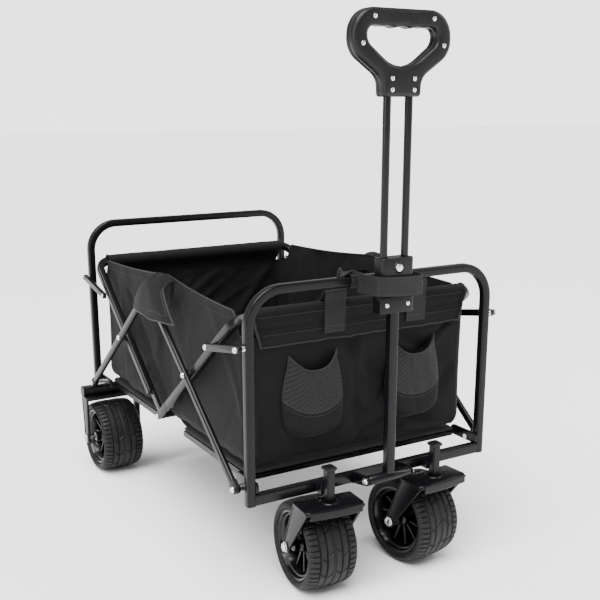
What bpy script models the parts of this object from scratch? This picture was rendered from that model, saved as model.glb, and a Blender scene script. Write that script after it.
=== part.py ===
"""Folding camp wagon: two upright hoop frames joined by scissor struts, a fabric basket,
a folding floor, two caster wheels, two fixed wheels and a telescopic pull handle.

Axes: +Z is up, the handle is at -Y, +X is to the right seen from the handle. Metres.
"""
import math

import bmesh
import bpy
from mathutils import Matrix, Vector

PART = "folding_camp_wagon"
GAP = 0.0003                     # clearance between pieces that touch
WELD = 0.001                     # depth by which welded shapes reach into each other

# Upright frames
FRAME_HALF_WIDTH = 0.250         # middle of each post from the centre plane
FRAME_SPACING = 0.762            # front frame to rear frame when the wagon is open
Y_FRONT = -0.38025               # plane of the front frame
Y_REAR = Y_FRONT + FRAME_SPACING
TUBE = 0.016
TUBE_CORNER = 0.003
EDGE_BEVEL = 0.0015
SMOOTH = 40                      # faces that meet at less than this angle shade as one
FRONT_TOP = 0.556                # middle of the front frame's top bar
REAR_TOP = 0.584
CORNER_RADIUS = 0.060
FRONT_BAR = (0.190, 0.210)       # lowest and highest of the front crossbar
REAR_BEAM = (0.185, 0.205)
REAR_BEAM_HALF_DEPTH = 0.012

# Scissor
LOW_PIVOT_BACK = 0.020           # low pivot behind the frame's plane
LOW_PIVOT_Z = 0.217
STRUT_LENGTH = 0.457             # low pivot to apex
CROSSING = 0.247                 # low pivot to the crossing of strut and hoop arm
ARM_ABOVE = 0.222                # crossing to the middle of the hoop's hem bar
OPEN_ANGLE = math.asin((FRAME_SPACING / 2 - LOW_PIVOT_BACK) / STRUT_LENGTH)
ARM_BELOW = STRUT_LENGTH - CROSSING
HOOP_CORNER = 0.030
STRUT_WIDTH = 0.015
STRUT_THICKNESS = 0.010
STRUT_CORNER = 0.0042
FOLD_SHOULDER = 0.0070
CROSSING_SHOULDER = 0.0075
STRUT_X = 0.267
CAP_WIDTH = 0.017
CAP_THICKNESS = 0.012
CAP_REACH = 0.0137
STRUT_LAP = 0.0550               # length of the half-thick end that laps at the apex
HOOP_LAP = 0.0590                # the same at the bottom joint
LAP_WELD = 0.0050
TONGUE_GAP = 0.0002
TONGUE_INSET = 0.0005            # a tongue is this much smaller than its tube all round

# Side links
LINK_ON_ARM = 0.120              # crossing to the link's joint, along the arm
LINK_POST_Z = 0.4642
LINK_WIDTH = 0.013
LINK_THICKNESS = 0.008
LINK_X = 0.2665
LINK_SHOULDER = 0.0055

# Pins
PIN = 0.0030
PIN_BORE = 0.0033
HEAD = 0.0055
HEAD_THICKNESS = 0.0025
PLATE = (0.2365, 0.2417)         # inner and outer face of the hinge plates
PLATE_Z = (0.2103, 0.2300)
PLATE_BACK = 0.0075              # the plate's other end, behind the post's middle
PLATE_REACH = 0.064
PLATE_CORNER = 0.006
INNER_HEAD = 0.0020

# Folding floor
FLOOR_PIVOT_BACK = 0.054
FLOOR_LENGTH = 0.266             # floor pivot to the far edge of one half
FLOOR_BAR = 0.011
FLOOR_RAILS = (0.2235, 0.074)
JOURNAL = 0.0040
JOURNAL_BORE = 0.0043
FLOOR_PANEL = 0.006
PANEL_BEVEL = 0.001
CENTRE_BAR_RADIUS = 0.007

# Basket
BASKET_HALF_WIDTH = 0.2275
CLOTH = 0.003
PANEL_LOW = 0.260
HEM_HALF_WIDTH = 0.208
HEM_HALF_DEPTH = 0.016
HEM_CORNER = 0.012
PANEL_AHEAD = 0.009              # outer face of an end panel, out from the hem bar's middle
HEM_LOW = 0.452
HEM_HIGH = 0.520
HEM_BORE = 0.0118
SIDE_X = (0.2345, 0.2375)
SIDE_LOW = 0.248
SIDE_TOP = 0.520
SIDE_APEX = 0.536
POCKET_X = 0.115
POCKET_HALF_WIDTH = 0.056
POCKET_Z = (0.290, 0.425)
POCKET_DEPTH = 0.016
POCKET_BEVEL = 0.002
HOOP_CLEARANCE = 0.004           # side wall's ends from the hoops' rounded corners

# Wheels
WHEEL_RADIUS = 0.0825
WHEEL_HALF_WIDTH = 0.0475
WHEEL_STEPS = 24
RIM_RADIUS = 0.0560
RIM_HALF_WIDTH = 0.0430
RIM_WALL = 0.0035
HUB_RADIUS = 0.0140
HUB_HALF_LENGTH = 0.0440
SPOKES = 6
SPOKE_HALF_THICKNESS = 0.0035
SPOKE_HALF_WIDTH = 0.014
TREAD_SHOULDER = 0.010
TREAD_DROP = 0.0025              # the tread's edge is this much lower than its crown
TREAD_FLAT = 0.030
SIDEWALL = 0.012
BEAD = 0.006
BOLT_HEAD = (0.0075, 0.0085, 0.004, 0.006)   # radii and heights of an axle's ends
AXLE = 0.0050
AXLE_BORE = 0.0053

# Casters
STEM_X = 0.115
STEM_AHEAD = 0.035
TRAIL = 0.055
TOE = math.radians(5.0)
FORK_PLATE = (0.172, 0.180)
FORK_HALF_WIDTH = 0.0575
FORK_LEG = 0.0055
FORK_DEPTH = (-0.030, 0.028)
FORK_BEVEL = 0.003
LEG_INSET = 0.002
LEG_DOWN = 0.004                 # top of a leg below the plate's top
LEG_SKIN = 0.0002
LEG_END = 0.012
BORE_REACH = 0.080
PLUG_HALF_WIDTH = 0.011          # cap that closes a caster housing
PLUG_TOP = 0.246
LUG = (0.012, 0.192, 0.209)      # half width, lowest and highest of a housing's lug
HOUSING_Z = (0.1823, 0.2400)
STEM = 0.0050

# Rear forks
REAR_WHEEL_X = 0.225
REAR_AXLE_AHEAD = 0.013
REAR_FORK_HALF_WIDTH = 0.066
REAR_FORK_PLATE = (0.176, 0.1847)
REAR_FORK_DEPTH = (-0.017, 0.025)
REAR_FORK_BEVEL = 0.002

# Handle
HANDLE_AHEAD = 0.050
HANDLE_PIVOT_Z = 0.209
SLEEVE_RADIUS = 0.009
SLEEVE_HALF_LENGTH = 0.044
EAR = (0.0465, 0.0495)
EAR_RADIUS = 0.009
BACK_PLATE = 0.003
BOLT = 0.0040
BOLT_RIM = 0.0065
BOLT_CAP = 0.004
HANDLE_TUBE = 0.017
SLIDER_Z = (0.506, 0.535)
SLIDER_HALF_WIDTH = 0.034
SLIDER_HALF_DEPTH = 0.0135
COLLAR_Z = (0.566, 0.599)
COLLAR_HALF_WIDTH = 0.0325
COLLAR_HALF_DEPTH = 0.015
COLLAR_CORNER = 0.008
RECESS_BACK = 0.006
RECESS_GAP = 0.0004
SLIDER_CORNER = 0.006
ROD_X = 0.0215
ROD_RADIUS = 0.0065
ROD_BORE = 0.0069
BUTTON_Z = 0.583
BUTTON_RADIUS = 0.0075
BUTTON_PROUD = 0.003
BUTTON_BACK = 0.0105             # the button's inner end ahead of the handle's plane
GRIP_LOW = 0.855
GRIP_TOP = 0.988
GRIP_HALF_WIDTH = 0.0985
GRIP_HALF_DEPTH = 0.015
GRIP_BEVEL = 0.005
BEVEL_FROM = 60                  # edges sharper than this angle are rounded
NECK_HALF_WIDTH = 0.037
STRAP_Z = (0.536, 0.5635)
STRAP_HALF_WIDTH = 0.055
STRAP_THICKNESS = 0.0025
STRAP_AHEAD = 0.006              # the strap's front ahead of the collar's front

# Places worked out from the sizes above
SIN_OPEN = math.sin(OPEN_ANGLE)
COS_OPEN = math.cos(OPEN_ANGLE)
Y_MIDDLE = (Y_FRONT + Y_REAR) / 2
APEX_Z = LOW_PIVOT_Z + STRUT_LENGTH * COS_OPEN
CROSSING_Z = LOW_PIVOT_Z + CROSSING * COS_OPEN
BOTTOM_Z = CROSSING_Z - ARM_BELOW * COS_OPEN
HEM_Z = CROSSING_Z + ARM_ABOVE * COS_OPEN

# Outlines drawn in X and Y, turned to face along X or along Y
FACE_X = Matrix(((0, 0, 1), (1, 0, 0), (0, 1, 0))).to_4x4()
FACE_Y = Matrix(((1, 0, 0), (0, 0, -1), (0, 1, 0))).to_4x4()
FACE_Z = Matrix.Identity(4)


# ---------------------------------------------------------------- scene and materials

def clear_scene():
    for item in list(bpy.data.objects):
        bpy.data.objects.remove(item, do_unlink=True)


def new_collection(name):
    group = bpy.data.collections.new(name)
    bpy.context.scene.collection.children.link(group)
    return group


def make_material(name, colour, roughness, metallic=0.0):
    finish = bpy.data.materials.new(name)
    finish.use_nodes = True
    shader = finish.node_tree.nodes["Principled BSDF"]
    shader.inputs["Base Color"].default_value = (*colour, 1.0)
    shader.inputs["Roughness"].default_value = roughness
    shader.inputs["Metallic"].default_value = metallic
    return finish


clear_scene()
PARTS = new_collection(PART)
CUTTERS = new_collection(PART + "_cutters")
PAINT = make_material("black_paint", (0.012, 0.012, 0.013), 0.32)
PLASTIC = make_material("black_plastic", (0.014, 0.014, 0.015), 0.45)
RIM_PLASTIC = make_material("rim_plastic", (0.010, 0.010, 0.011), 0.25)
RUBBER = make_material("tyre_rubber", (0.020, 0.020, 0.021), 0.75)
STEEL = make_material("plated_steel", (0.60, 0.60, 0.62), 0.25, 1.0)
FABRIC = make_material("black_fabric", (0.012, 0.012, 0.013), 0.90)


# ---------------------------------------------------------------- shape helpers

def link(piece):
    PARTS.objects.link(piece)
    return piece


def evaluated_mesh(piece):
    """The piece's finished mesh in its own axes, with the caps of a curve welded."""
    bpy.context.view_layer.update()
    graph = bpy.context.evaluated_depsgraph_get()
    mesh = bpy.data.meshes.new_from_object(piece.evaluated_get(graph))
    if piece.type == "CURVE":
        shape = bmesh.new()
        shape.from_mesh(mesh)
        bmesh.ops.remove_doubles(shape, verts=shape.verts, dist=0.00001)
        bmesh.ops.recalc_face_normals(shape, faces=shape.faces)
        shape.to_mesh(mesh)
        shape.free()
    return mesh


def frozen(piece):
    """Replace a curve, or a mesh with modifiers, by a plain mesh in the same place."""
    solid = bpy.data.objects.new(piece.name, evaluated_mesh(piece))
    solid.matrix_world = piece.matrix_world.copy()
    bpy.data.objects.remove(piece, do_unlink=True)
    return link(solid)


def place(piece, matrix):
    piece.matrix_world = matrix @ piece.matrix_world
    return piece


def box(low, high, bevel=0.0):
    """A box between two corners, its edges bevelled when a width is given."""
    shape = bmesh.new()
    bmesh.ops.create_cube(shape, size=1.0)
    size = [far - near for near, far in zip(low, high)]
    bmesh.ops.scale(shape, vec=size, verts=shape.verts)
    middle = [(far + near) / 2 for near, far in zip(low, high)]
    bmesh.ops.translate(shape, vec=middle, verts=shape.verts)
    if bevel:
        bmesh.ops.bevel(shape, geom=shape.edges, offset=bevel, segments=1, affect="EDGES")
    return from_bmesh(shape)


def from_bmesh(shape):
    mesh = bpy.data.meshes.new("shape")
    shape.to_mesh(mesh)
    shape.free()
    return link(bpy.data.objects.new("shape", mesh))


def rod(start, end, radius, sides=16):
    """A solid round bar between two points."""
    start, end = Vector(start), Vector(end)
    run = end - start
    shape = bmesh.new()
    bmesh.ops.create_cone(shape, cap_ends=True, segments=sides, radius1=radius,
                          radius2=radius, depth=run.length)
    turn = run.to_track_quat("Z", "Y").to_matrix().to_4x4()
    bmesh.ops.transform(shape, matrix=Matrix.Translation((start + end) / 2) @ turn,
                        verts=shape.verts)
    return from_bmesh(shape)


def rod_along_x(x_from, x_to, y, z, radius, sides=16):
    return rod((x_from, y, z), (x_to, y, z), radius, sides)


def turned(profile, axis, steps):
    """A profile of (radius, height) points, top to bottom, turned about an axis matrix."""
    mesh = bpy.data.meshes.new("profile")
    edges = [(i, i + 1) for i in range(len(profile) - 1)]
    if profile[0][0] > 0 and profile[-1][0] > 0:
        edges.append((len(profile) - 1, 0))
    mesh.from_pydata([(radius, 0, height) for radius, height in profile], edges, [])
    piece = link(bpy.data.objects.new("turned", mesh))
    screw = piece.modifiers.new("turn", "SCREW")
    screw.steps = screw.render_steps = steps
    screw.use_merge_vertices = True
    screw.merge_threshold = 0.00001
    piece.matrix_world = axis
    return frozen(piece)


def arc(centre, radius, start, end, steps):
    """Points along a circle from one angle to another, in degrees."""
    points = []
    for i in range(steps + 1):
        angle = math.radians(start + (end - start) * i / steps)
        points.append((centre[0] + radius * math.cos(angle), centre[1] + radius * math.sin(angle)))
    return points


def filleted(corners, radii, steps=4):
    """A closed outline whose corners are rounded, each with its own radius."""
    points = []
    count = len(corners)
    for i, (corner, radius) in enumerate(zip(corners, radii)):
        here = Vector(corner)
        back = (Vector(corners[i - 1]) - here).normalized()
        ahead = (Vector(corners[(i + 1) % count]) - here).normalized()
        half = back.angle(ahead) / 2
        if radius == 0:
            points.append(tuple(here))
            continue
        middle = here + (back + ahead).normalized() * radius / math.sin(half)
        first = here + back * radius / math.tan(half) - middle
        sweep = first.angle_signed(here + ahead * radius / math.tan(half) - middle)
        for step in range(steps + 1):
            turn = Matrix.Rotation(-sweep * step / steps, 2)
            points.append(tuple(middle + turn @ first))
    return points


def rounded_rectangle(half_width, half_height, radius, steps=2):
    corners = [(-half_width, -half_height), (half_width, -half_height),
               (half_width, half_height), (-half_width, half_height)]
    return filleted(corners, [radius] * 4, steps)


def circle(centre, radius, sides=16):
    return arc(centre, radius, 0, 360 * (sides - 1) / sides, sides - 1)


def slab(outlines, low, high, facing):
    """Flat outlines, a later one cutting a hole, extruded from low to high."""
    curve = bpy.data.curves.new("outline", "CURVE")
    curve.dimensions = "2D"
    curve.fill_mode = "BOTH"
    curve.extrude = (high - low) / 2
    for outline in outlines:
        spline = curve.splines.new("POLY")
        spline.points.add(len(outline) - 1)
        for point, (across, up) in zip(spline.points, outline):
            point.co = (across, up, 0, 1)
        spline.use_cyclic_u = True
    piece = link(bpy.data.objects.new("slab", curve))
    piece.matrix_world = facing @ Matrix.Translation((0, 0, (high + low) / 2))
    return frozen(piece)


def bar(start, end, width, thickness, corner):
    """A straight bar whose section is thickness along X and width across it."""
    start, end = Vector(start), Vector(end)
    along = (end - start).normalized()
    side = Vector((1, 0, 0))
    if abs(along.x) > 0.9:
        side = Vector((0, 1, 0))
    across = along.cross(side)
    facing = Matrix((side, across, along)).transposed().to_4x4()
    facing.translation = start
    section = rounded_rectangle(thickness / 2, width / 2, corner)
    return slab([section], 0, (end - start).length, facing)


def hoop(half_width, foot, top, radius, place_matrix):
    """An arch of square tube in the XZ plane, its feet at one height and its bar at another."""
    section = bpy.data.curves.new("section", "CURVE")
    section.dimensions = "2D"
    ring = section.splines.new("POLY")
    outline = rounded_rectangle(TUBE / 2, TUBE / 2, TUBE_CORNER, 1)
    ring.points.add(len(outline) - 1)
    for point, (across, up) in zip(ring.points, outline):
        point.co = (across, up, 0, 1)
    ring.use_cyclic_u = True
    guide = bpy.data.objects.new("section", section)
    CUTTERS.objects.link(guide)
    path = [(half_width, foot)]
    path += arc((half_width - radius, top - radius), radius, 0, 90, 6)
    path += arc((-half_width + radius, top - radius), radius, 90, 180, 6)
    path.append((-half_width, foot))
    curve = bpy.data.curves.new("hoop", "CURVE")
    curve.dimensions = "3D"
    curve.bevel_mode = "OBJECT"
    curve.bevel_object = guide
    curve.use_fill_caps = True
    spline = curve.splines.new("POLY")
    spline.points.add(len(path) - 1)
    for point, (across, up) in zip(spline.points, path):
        point.co = (across, 0, up, 1)
    piece = link(bpy.data.objects.new("hoop", curve))
    piece.matrix_world = place_matrix
    piece = frozen(piece)
    bpy.data.objects.remove(guide, do_unlink=True)
    return piece


def welded(base, *others):
    """Join overlapping solids into one."""
    for i, other in enumerate(others):
        union = base.modifiers.new(f"weld_{i}", "BOOLEAN")
        union.operation = "UNION"
        union.object = other
    base = frozen(base)
    for other in others:
        bpy.data.objects.remove(other, do_unlink=True)
    return base


def cut(base, *tools):
    """Take solids away from one piece, now."""
    for i, tool in enumerate(tools):
        difference = base.modifiers.new(f"cut_{i}", "BOOLEAN")
        difference.operation = "DIFFERENCE"
        difference.object = tool
    base = frozen(base)
    for tool in tools:
        bpy.data.objects.remove(tool, do_unlink=True)
    return base


def mirrored(piece):
    """A copy of a piece on the other side of the wagon's centre plane."""
    mesh = piece.data.copy()
    mesh.transform(Matrix.Scale(-1, 4, (1, 0, 0)) @ piece.matrix_world)
    mesh.flip_normals()
    return link(bpy.data.objects.new(piece.name, mesh))


def both_sides(piece):
    return [piece, mirrored(piece)]


def node(name, piece, finish, smooth=None):
    """Name a finished solid and give it its material."""
    mesh = evaluated_mesh(piece)
    mesh.transform(piece.matrix_world)
    bpy.data.objects.remove(piece, do_unlink=True)
    mesh.name = name
    mesh.materials.clear()
    mesh.materials.append(finish)
    if smooth:
        mesh.shade_smooth()
        mesh.set_sharp_from_angle(angle=math.radians(smooth))
    return link(bpy.data.objects.new(name, mesh))


def pair(name, piece, finish, smooth=None):
    """The right-hand solid and its mirror image, as two sub-parts."""
    twin = mirrored(piece)
    return [node(name + "_left", twin, finish, smooth), node(name + "_right", piece, finish, smooth)]


def bore_cutter(name, y, z, radius=PIN_BORE, half_length=0.3):
    """A round cutter right across the wagon."""
    cutter = rod_along_x(-half_length, half_length, y, z, radius, 12)
    cutter.name = name
    PARTS.objects.unlink(cutter)
    CUTTERS.objects.link(cutter)
    cutter.hide_render = True
    cutter.display_type = "WIRE"
    return cutter


def bored(piece, *cutters):
    for cutter in cutters:
        difference = piece.modifiers.new(cutter.name, "BOOLEAN")
        difference.operation = "DIFFERENCE"
        difference.object = cutter
    return piece


def bored_pair(pieces, *cutters):
    return [bored(piece, *cutters) for piece in pieces]


def pivot(name, location, *pieces):
    """An empty on a joint's axis that carries the pieces that turn or slide there."""
    empty = link(bpy.data.objects.new(name, None))
    empty.empty_display_size = 0.03
    empty.location = location
    bpy.context.view_layer.update()
    for piece in pieces:
        piece.parent = empty
        piece.matrix_parent_inverse = empty.matrix_world.inverted()
    return empty


def along_x(x, y, z, outward=1):
    """Axis matrix for a turned piece whose height runs outward along X."""
    turn = Matrix.Rotation(math.radians(90 * outward), 4, "Y")
    return Matrix.Translation((x, y, z)) @ turn


def pin(y, z, inner, outer, shoulder=None, inner_head=True):
    """A headed pin along +X, with an optional thick shoulder (inner, outer, radius)."""
    profile = [(0, outer + GAP + HEAD_THICKNESS), (HEAD * 0.7, outer + GAP + HEAD_THICKNESS),
               (HEAD, outer + GAP + HEAD_THICKNESS / 2), (HEAD, outer + GAP), (PIN, outer + GAP)]
    if shoulder:
        low, high, radius = shoulder
        profile += [(PIN, high), (radius, high), (radius, low), (PIN, low)]
    if inner_head:
        face, far, wide = inner - GAP, inner - GAP - INNER_HEAD, HEAD * 0.9
        profile += [(PIN, face), (wide, face), (wide, far), (0, far)]
    else:
        profile += [(PIN, inner), (0, inner)]
    return turned(profile, along_x(0, y, z), 12)


# ---------------------------------------------------------------- front and rear ends

class End:
    """One end of the wagon: its plane and the way towards the middle (+1 front, -1 rear)."""

    def __init__(self, name, plane, inward, top, bar_heights):
        self.name = name
        self.plane = plane
        self.inward = inward
        self.top = top
        self.bar = bar_heights
        self.low = plane + inward * LOW_PIVOT_BACK
        self.crossing = self.low + inward * CROSSING * SIN_OPEN
        self.hem = self.crossing - inward * ARM_ABOVE * SIN_OPEN
        self.link = self.crossing - inward * LINK_ON_ARM * SIN_OPEN
        self.floor = plane + inward * FLOOR_PIVOT_BACK

    def back(self, distance):
        """The y that lies a distance from the frame's plane towards the middle."""
        return self.plane + self.inward * distance

    def span(self, near, far):
        """Two y values in rising order, given as distances towards the middle."""
        return sorted((self.back(near), self.back(far)))


LINK_ARM_Z = CROSSING_Z + LINK_ON_ARM * COS_OPEN
FRONT = End("front", Y_FRONT, 1, FRONT_TOP, FRONT_BAR)
REAR = End("rear", Y_REAR, -1, REAR_TOP, REAR_BEAM)


def arm_frame(end):
    """Axes of a basket hoop: origin at the bottom joint, Z up the arm."""
    tilt = Matrix.Rotation(end.inward * OPEN_ANGLE, 4, "X")
    return Matrix.Translation((0, Y_MIDDLE, BOTTOM_Z)) @ tilt


def strut_frame(end):
    """Axes of a strut: origin at the low pivot, Z up the strut."""
    tilt = Matrix.Rotation(-end.inward * OPEN_ANGLE, 4, "X")
    return Matrix.Translation((0, end.low, LOW_PIVOT_Z)) @ tilt


def knuckle(x_low, x_high, width, reach, towards=1):
    """A round-ended plate about a pivot at the origin, reaching up or down along Z."""
    radius = width / 2
    outline = arc((0, 0), radius, 180, 360, 6)
    outline += [(radius, reach), (-radius, reach)]
    if towards < 0:
        outline = [(-across, -up) for across, up in outline]
    return slab([outline], x_low, x_high, FACE_X)


def make_bores():
    """One cutter across the wagon for each pivot axis."""
    bores = {"apex": bore_cutter("apex_bore", Y_MIDDLE, APEX_Z),
             "bottom": bore_cutter("bottom_bore", Y_MIDDLE, BOTTOM_Z)}
    for end in (FRONT, REAR):
        bores[end.name + "_low"] = bore_cutter(end.name + "_low_bore", end.low, LOW_PIVOT_Z)
        bores[end.name + "_crossing"] = bore_cutter(end.name + "_crossing_bore",
                                                    end.crossing, CROSSING_Z)
        bores[end.name + "_post"] = bore_cutter(end.name + "_post_bore", end.plane, LINK_POST_Z)
        bores[end.name + "_floor"] = bore_cutter(end.name + "_floor_bore", end.floor,
                                                 LOW_PIVOT_Z, JOURNAL_BORE)
    return bores


def hinge_plate(end):
    """Plate on a post's inner face that holds the fold pin and the floor's journal."""
    y_low, y_high = end.span(-PLATE_BACK, PLATE_REACH)
    middle = (y_low + y_high) / 2
    z_middle = (PLATE_Z[0] + PLATE_Z[1]) / 2
    outline = rounded_rectangle((y_high - y_low) / 2, (PLATE_Z[1] - PLATE_Z[0]) / 2,
                                PLATE_CORNER, 3)
    outline = [(middle + across, z_middle + up) for across, up in outline]
    return slab([outline], PLATE[0], FRAME_HALF_WIDTH - TUBE / 2 + WELD, FACE_X)


def link_stud(end):
    """Headed stud on a post's outer face that a side link turns on."""
    face = FRAME_HALF_WIDTH + TUBE / 2
    shoulder = (face - WELD, LINK_X - LINK_THICKNESS / 2 - GAP, LINK_SHOULDER)
    return pin(end.plane, LINK_POST_Z, face - WELD, LINK_X + LINK_THICKNESS / 2, shoulder,
               inner_head=False)


def upright_frame(end, bores):
    """Arch, crossbar, hinge plates and link studs, welded together."""
    foot = end.bar[0] if end is FRONT else end.bar[0] + TUBE / 2
    arch = hoop(FRAME_HALF_WIDTH, foot, end.top, CORNER_RADIUS,
                Matrix.Translation((0, end.plane, 0)))
    if end is FRONT:
        half_width, half_depth = FRAME_HALF_WIDTH, TUBE / 2 - TONGUE_INSET
    else:
        half_width, half_depth = REAR_WHEEL_X + REAR_FORK_HALF_WIDTH, REAR_BEAM_HALF_DEPTH
    low = (-half_width, end.plane - half_depth, end.bar[0])
    high = (half_width, end.plane + half_depth, end.bar[1])
    crossbar = box(low, high, EDGE_BEVEL)
    plates = both_sides(hinge_plate(end))
    studs = both_sides(link_stud(end))
    frame = node(end.name + "_frame", welded(arch, crossbar, *plates, *studs), PAINT, SMOOTH)
    return bored(frame, bores[end.name + "_low"], bores[end.name + "_floor"])


def fold_pins(end):
    """The pins that the struts turn on, each with a thick shoulder as its spacer."""
    cap_inner = STRUT_X - CAP_THICKNESS / 2
    cap_outer = STRUT_X + CAP_THICKNESS / 2
    shoulder = (FRAME_HALF_WIDTH - TUBE / 2 + WELD + GAP, cap_inner - GAP, FOLD_SHOULDER)
    one = pin(end.low, LOW_PIVOT_Z, PLATE[0], cap_outer, shoulder)
    return pair(end.name + "_fold_pin", one, STEEL, SMOOTH)


def struts(end, bores):
    """The two long struts of one end, with lapped tongues at the apex and plastic end caps."""
    frame = strut_frame(end)
    inner, outer = STRUT_X - CAP_THICKNESS / 2, STRUT_X + CAP_THICKNESS / 2
    tube = bar((STRUT_X, 0, CAP_REACH + GAP), (STRUT_X, 0, STRUT_LENGTH - STRUT_LAP),
               STRUT_WIDTH, STRUT_THICKNESS, STRUT_CORNER)
    lap = (STRUT_X + TONGUE_GAP, outer) if end is FRONT else (inner, STRUT_X - TONGUE_GAP)
    raise_up = Matrix.Translation((0, 0, STRUT_LENGTH))
    tongue = place(knuckle(*lap, STRUT_WIDTH, STRUT_LAP + LAP_WELD, -1), raise_up)
    tubes = pair(end.name + "_strut", place(welded(tube, tongue), frame), PAINT, SMOOTH)
    cap = place(knuckle(inner, outer, CAP_WIDTH, CAP_REACH), frame)
    caps = pair(end.name + "_strut_cap", cap, PLASTIC)
    pieces = bored_pair(tubes, bores[end.name + "_crossing"], bores["apex"])
    pieces += bored_pair(caps, bores[end.name + "_low"])
    if end is FRONT:
        pieces += pair("apex_pin", pin(Y_MIDDLE, APEX_Z, inner, outer), STEEL, SMOOTH)
    return pieces


def basket_hoop(end, bores):
    """The tilted hoop whose arms cross the struts and whose top bar carries the hem."""
    frame = arm_frame(end)
    arch = hoop(FRAME_HALF_WIDTH, HOOP_LAP, ARM_BELOW + ARM_ABOVE, HOOP_CORNER, frame)
    inner, outer = FRAME_HALF_WIDTH - TUBE / 2, FRAME_HALF_WIDTH + TUBE / 2
    lap = (FRAME_HALF_WIDTH + TONGUE_GAP, outer - TONGUE_INSET)
    if end is REAR:
        lap = (inner + TONGUE_INSET, FRAME_HALF_WIDTH - TONGUE_GAP)
    tongue = knuckle(*lap, TUBE - 2 * TONGUE_INSET, HOOP_LAP + LAP_WELD)
    tongues = both_sides(place(tongue, frame))
    shoulder = (outer - WELD, STRUT_X - STRUT_THICKNESS / 2 - GAP, CROSSING_SHOULDER)
    stud = pin(end.crossing, CROSSING_Z, outer - WELD, STRUT_X + STRUT_THICKNESS / 2, shoulder,
               inner_head=False)
    solid = welded(arch, *tongues, *both_sides(stud))
    return bored(node(end.name + "_basket_hoop", solid, PAINT, SMOOTH), bores["bottom"])


def centre_bar():
    """Cross tube on the bottom joint, with headed ends that pin the hoops' feet together."""
    inner, outer = FRAME_HALF_WIDTH - TUBE / 2, FRAME_HALF_WIDTH + TUBE / 2
    tube = rod_along_x(-inner + GAP, inner - GAP, Y_MIDDLE, BOTTOM_Z, CENTRE_BAR_RADIUS, 16)
    end_pin = pin(Y_MIDDLE, BOTTOM_Z, inner - WELD, outer, inner_head=False)
    return node("centre_bar", welded(tube, *both_sides(end_pin)), PAINT, SMOOTH)


def side_links(end, bores):
    """Short flat tubes from the posts to the hoop's arms, riveted at their far ends."""
    low, high = LINK_X - LINK_THICKNESS / 2, LINK_X + LINK_THICKNESS / 2
    run = Vector((end.link - end.plane, LINK_ARM_Z - LINK_POST_Z))
    radius = LINK_WIDTH / 2
    heading = math.degrees(math.atan2(run.y, run.x))
    outline = arc((0, 0), radius, heading + 90, heading + 270, 6)
    outline += arc(run, radius, heading - 90, heading + 90, 6)
    outline = [(end.plane + across, LINK_POST_Z + up) for across, up in outline]
    plate = slab([outline], low, high, FACE_X)
    rivet = rod_along_x(high - WELD, high + HEAD_THICKNESS, end.link, LINK_ARM_Z, HEAD, 12)
    links = pair(end.name + "_link", welded(plate, rivet), PAINT, SMOOTH)
    return bored_pair(links, bores[end.name + "_post"])


# ---------------------------------------------------------------- folding floor

def floor_half(end):
    """Frame of one floor half, with journals in the hinge plates, and the panel on it."""
    near = end.floor
    far = end.floor + end.inward * FLOOR_LENGTH
    half = FLOOR_BAR / 2
    z_low, z_high = LOW_PIVOT_Z - half, LOW_PIVOT_Z + half
    bars = []
    for x in FLOOR_RAILS:
        for sign in (-1, 1):
            y_low, y_high = sorted((near - end.inward * (half - 2 * WELD), far - end.inward * half))
            bars.append(box((sign * x - half, y_low, z_low), (sign * x + half, y_high, z_high)))
    edge = FLOOR_RAILS[0] + half
    y_low, y_high = sorted((far, far - end.inward * FLOOR_BAR))
    far_bar = box((-edge + WELD, y_low, z_low + WELD), (edge - WELD, y_high, z_high - WELD))
    near_bar = box((-edge + WELD, near - half, z_low + WELD), (edge - WELD, near + half, z_high - WELD))
    reach = PLATE[1] - GAP
    journal = rod_along_x(-reach, reach, near, LOW_PIVOT_Z, JOURNAL, 10)
    frame = node(end.name + "_floor_frame", welded(near_bar, journal, far_bar, *bars), PAINT)
    y_low, y_high = sorted((near - end.inward * half, far))
    panel = box((-edge, y_low, z_high + GAP), (edge, y_high, z_high + GAP + FLOOR_PANEL),
                PANEL_BEVEL)
    return [frame, node(end.name + "_floor_panel", panel, FABRIC)]


# ---------------------------------------------------------------- fabric basket

def hem_outline(end):
    """Section of the hem sleeve, in distance from the centre plane and height."""
    middle_z = (HEM_LOW + HEM_HIGH) / 2
    outline = rounded_rectangle(HEM_HALF_DEPTH, (HEM_HIGH - HEM_LOW) / 2, HEM_CORNER, 4)
    return [(end.hem + across, middle_z + up) for across, up in outline]


def end_cloth(end):
    """End panel of the basket and the sleeve that hangs it on the hoop's top bar."""
    sleeve = slab([hem_outline(end), circle((end.hem, HEM_Z), HEM_BORE)],
                  -HEM_HALF_WIDTH, HEM_HALF_WIDTH, FACE_X)
    outer = end.hem - end.inward * PANEL_AHEAD
    y_low, y_high = sorted((outer, outer + end.inward * CLOTH))
    panel = box((-BASKET_HALF_WIDTH, y_low, PANEL_LOW),
                (BASKET_HALF_WIDTH, y_high, HEM_LOW + 4 * WELD))
    return node(f"basket_{end.name}_panel", welded(sleeve, panel), FABRIC)


def pocket(side, sign):
    """An open-topped pocket on the front panel: a front wall, two sides and a bottom."""
    face = FRONT.hem - PANEL_AHEAD - GAP
    outer = box((-POCKET_HALF_WIDTH, face - POCKET_DEPTH, POCKET_Z[0]),
                (POCKET_HALF_WIDTH, face, POCKET_Z[1]), POCKET_BEVEL)
    hollow = box((-POCKET_HALF_WIDTH + CLOTH, face - POCKET_DEPTH + CLOTH, POCKET_Z[0] + CLOTH),
                 (POCKET_HALF_WIDTH - CLOTH, face - CLOTH, POCKET_Z[1] + CLOTH))
    bag = place(cut(outer, hollow), Matrix.Translation((sign * POCKET_X, 0, 0)))
    return node("front_pocket_" + side, bag, FABRIC)


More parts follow.
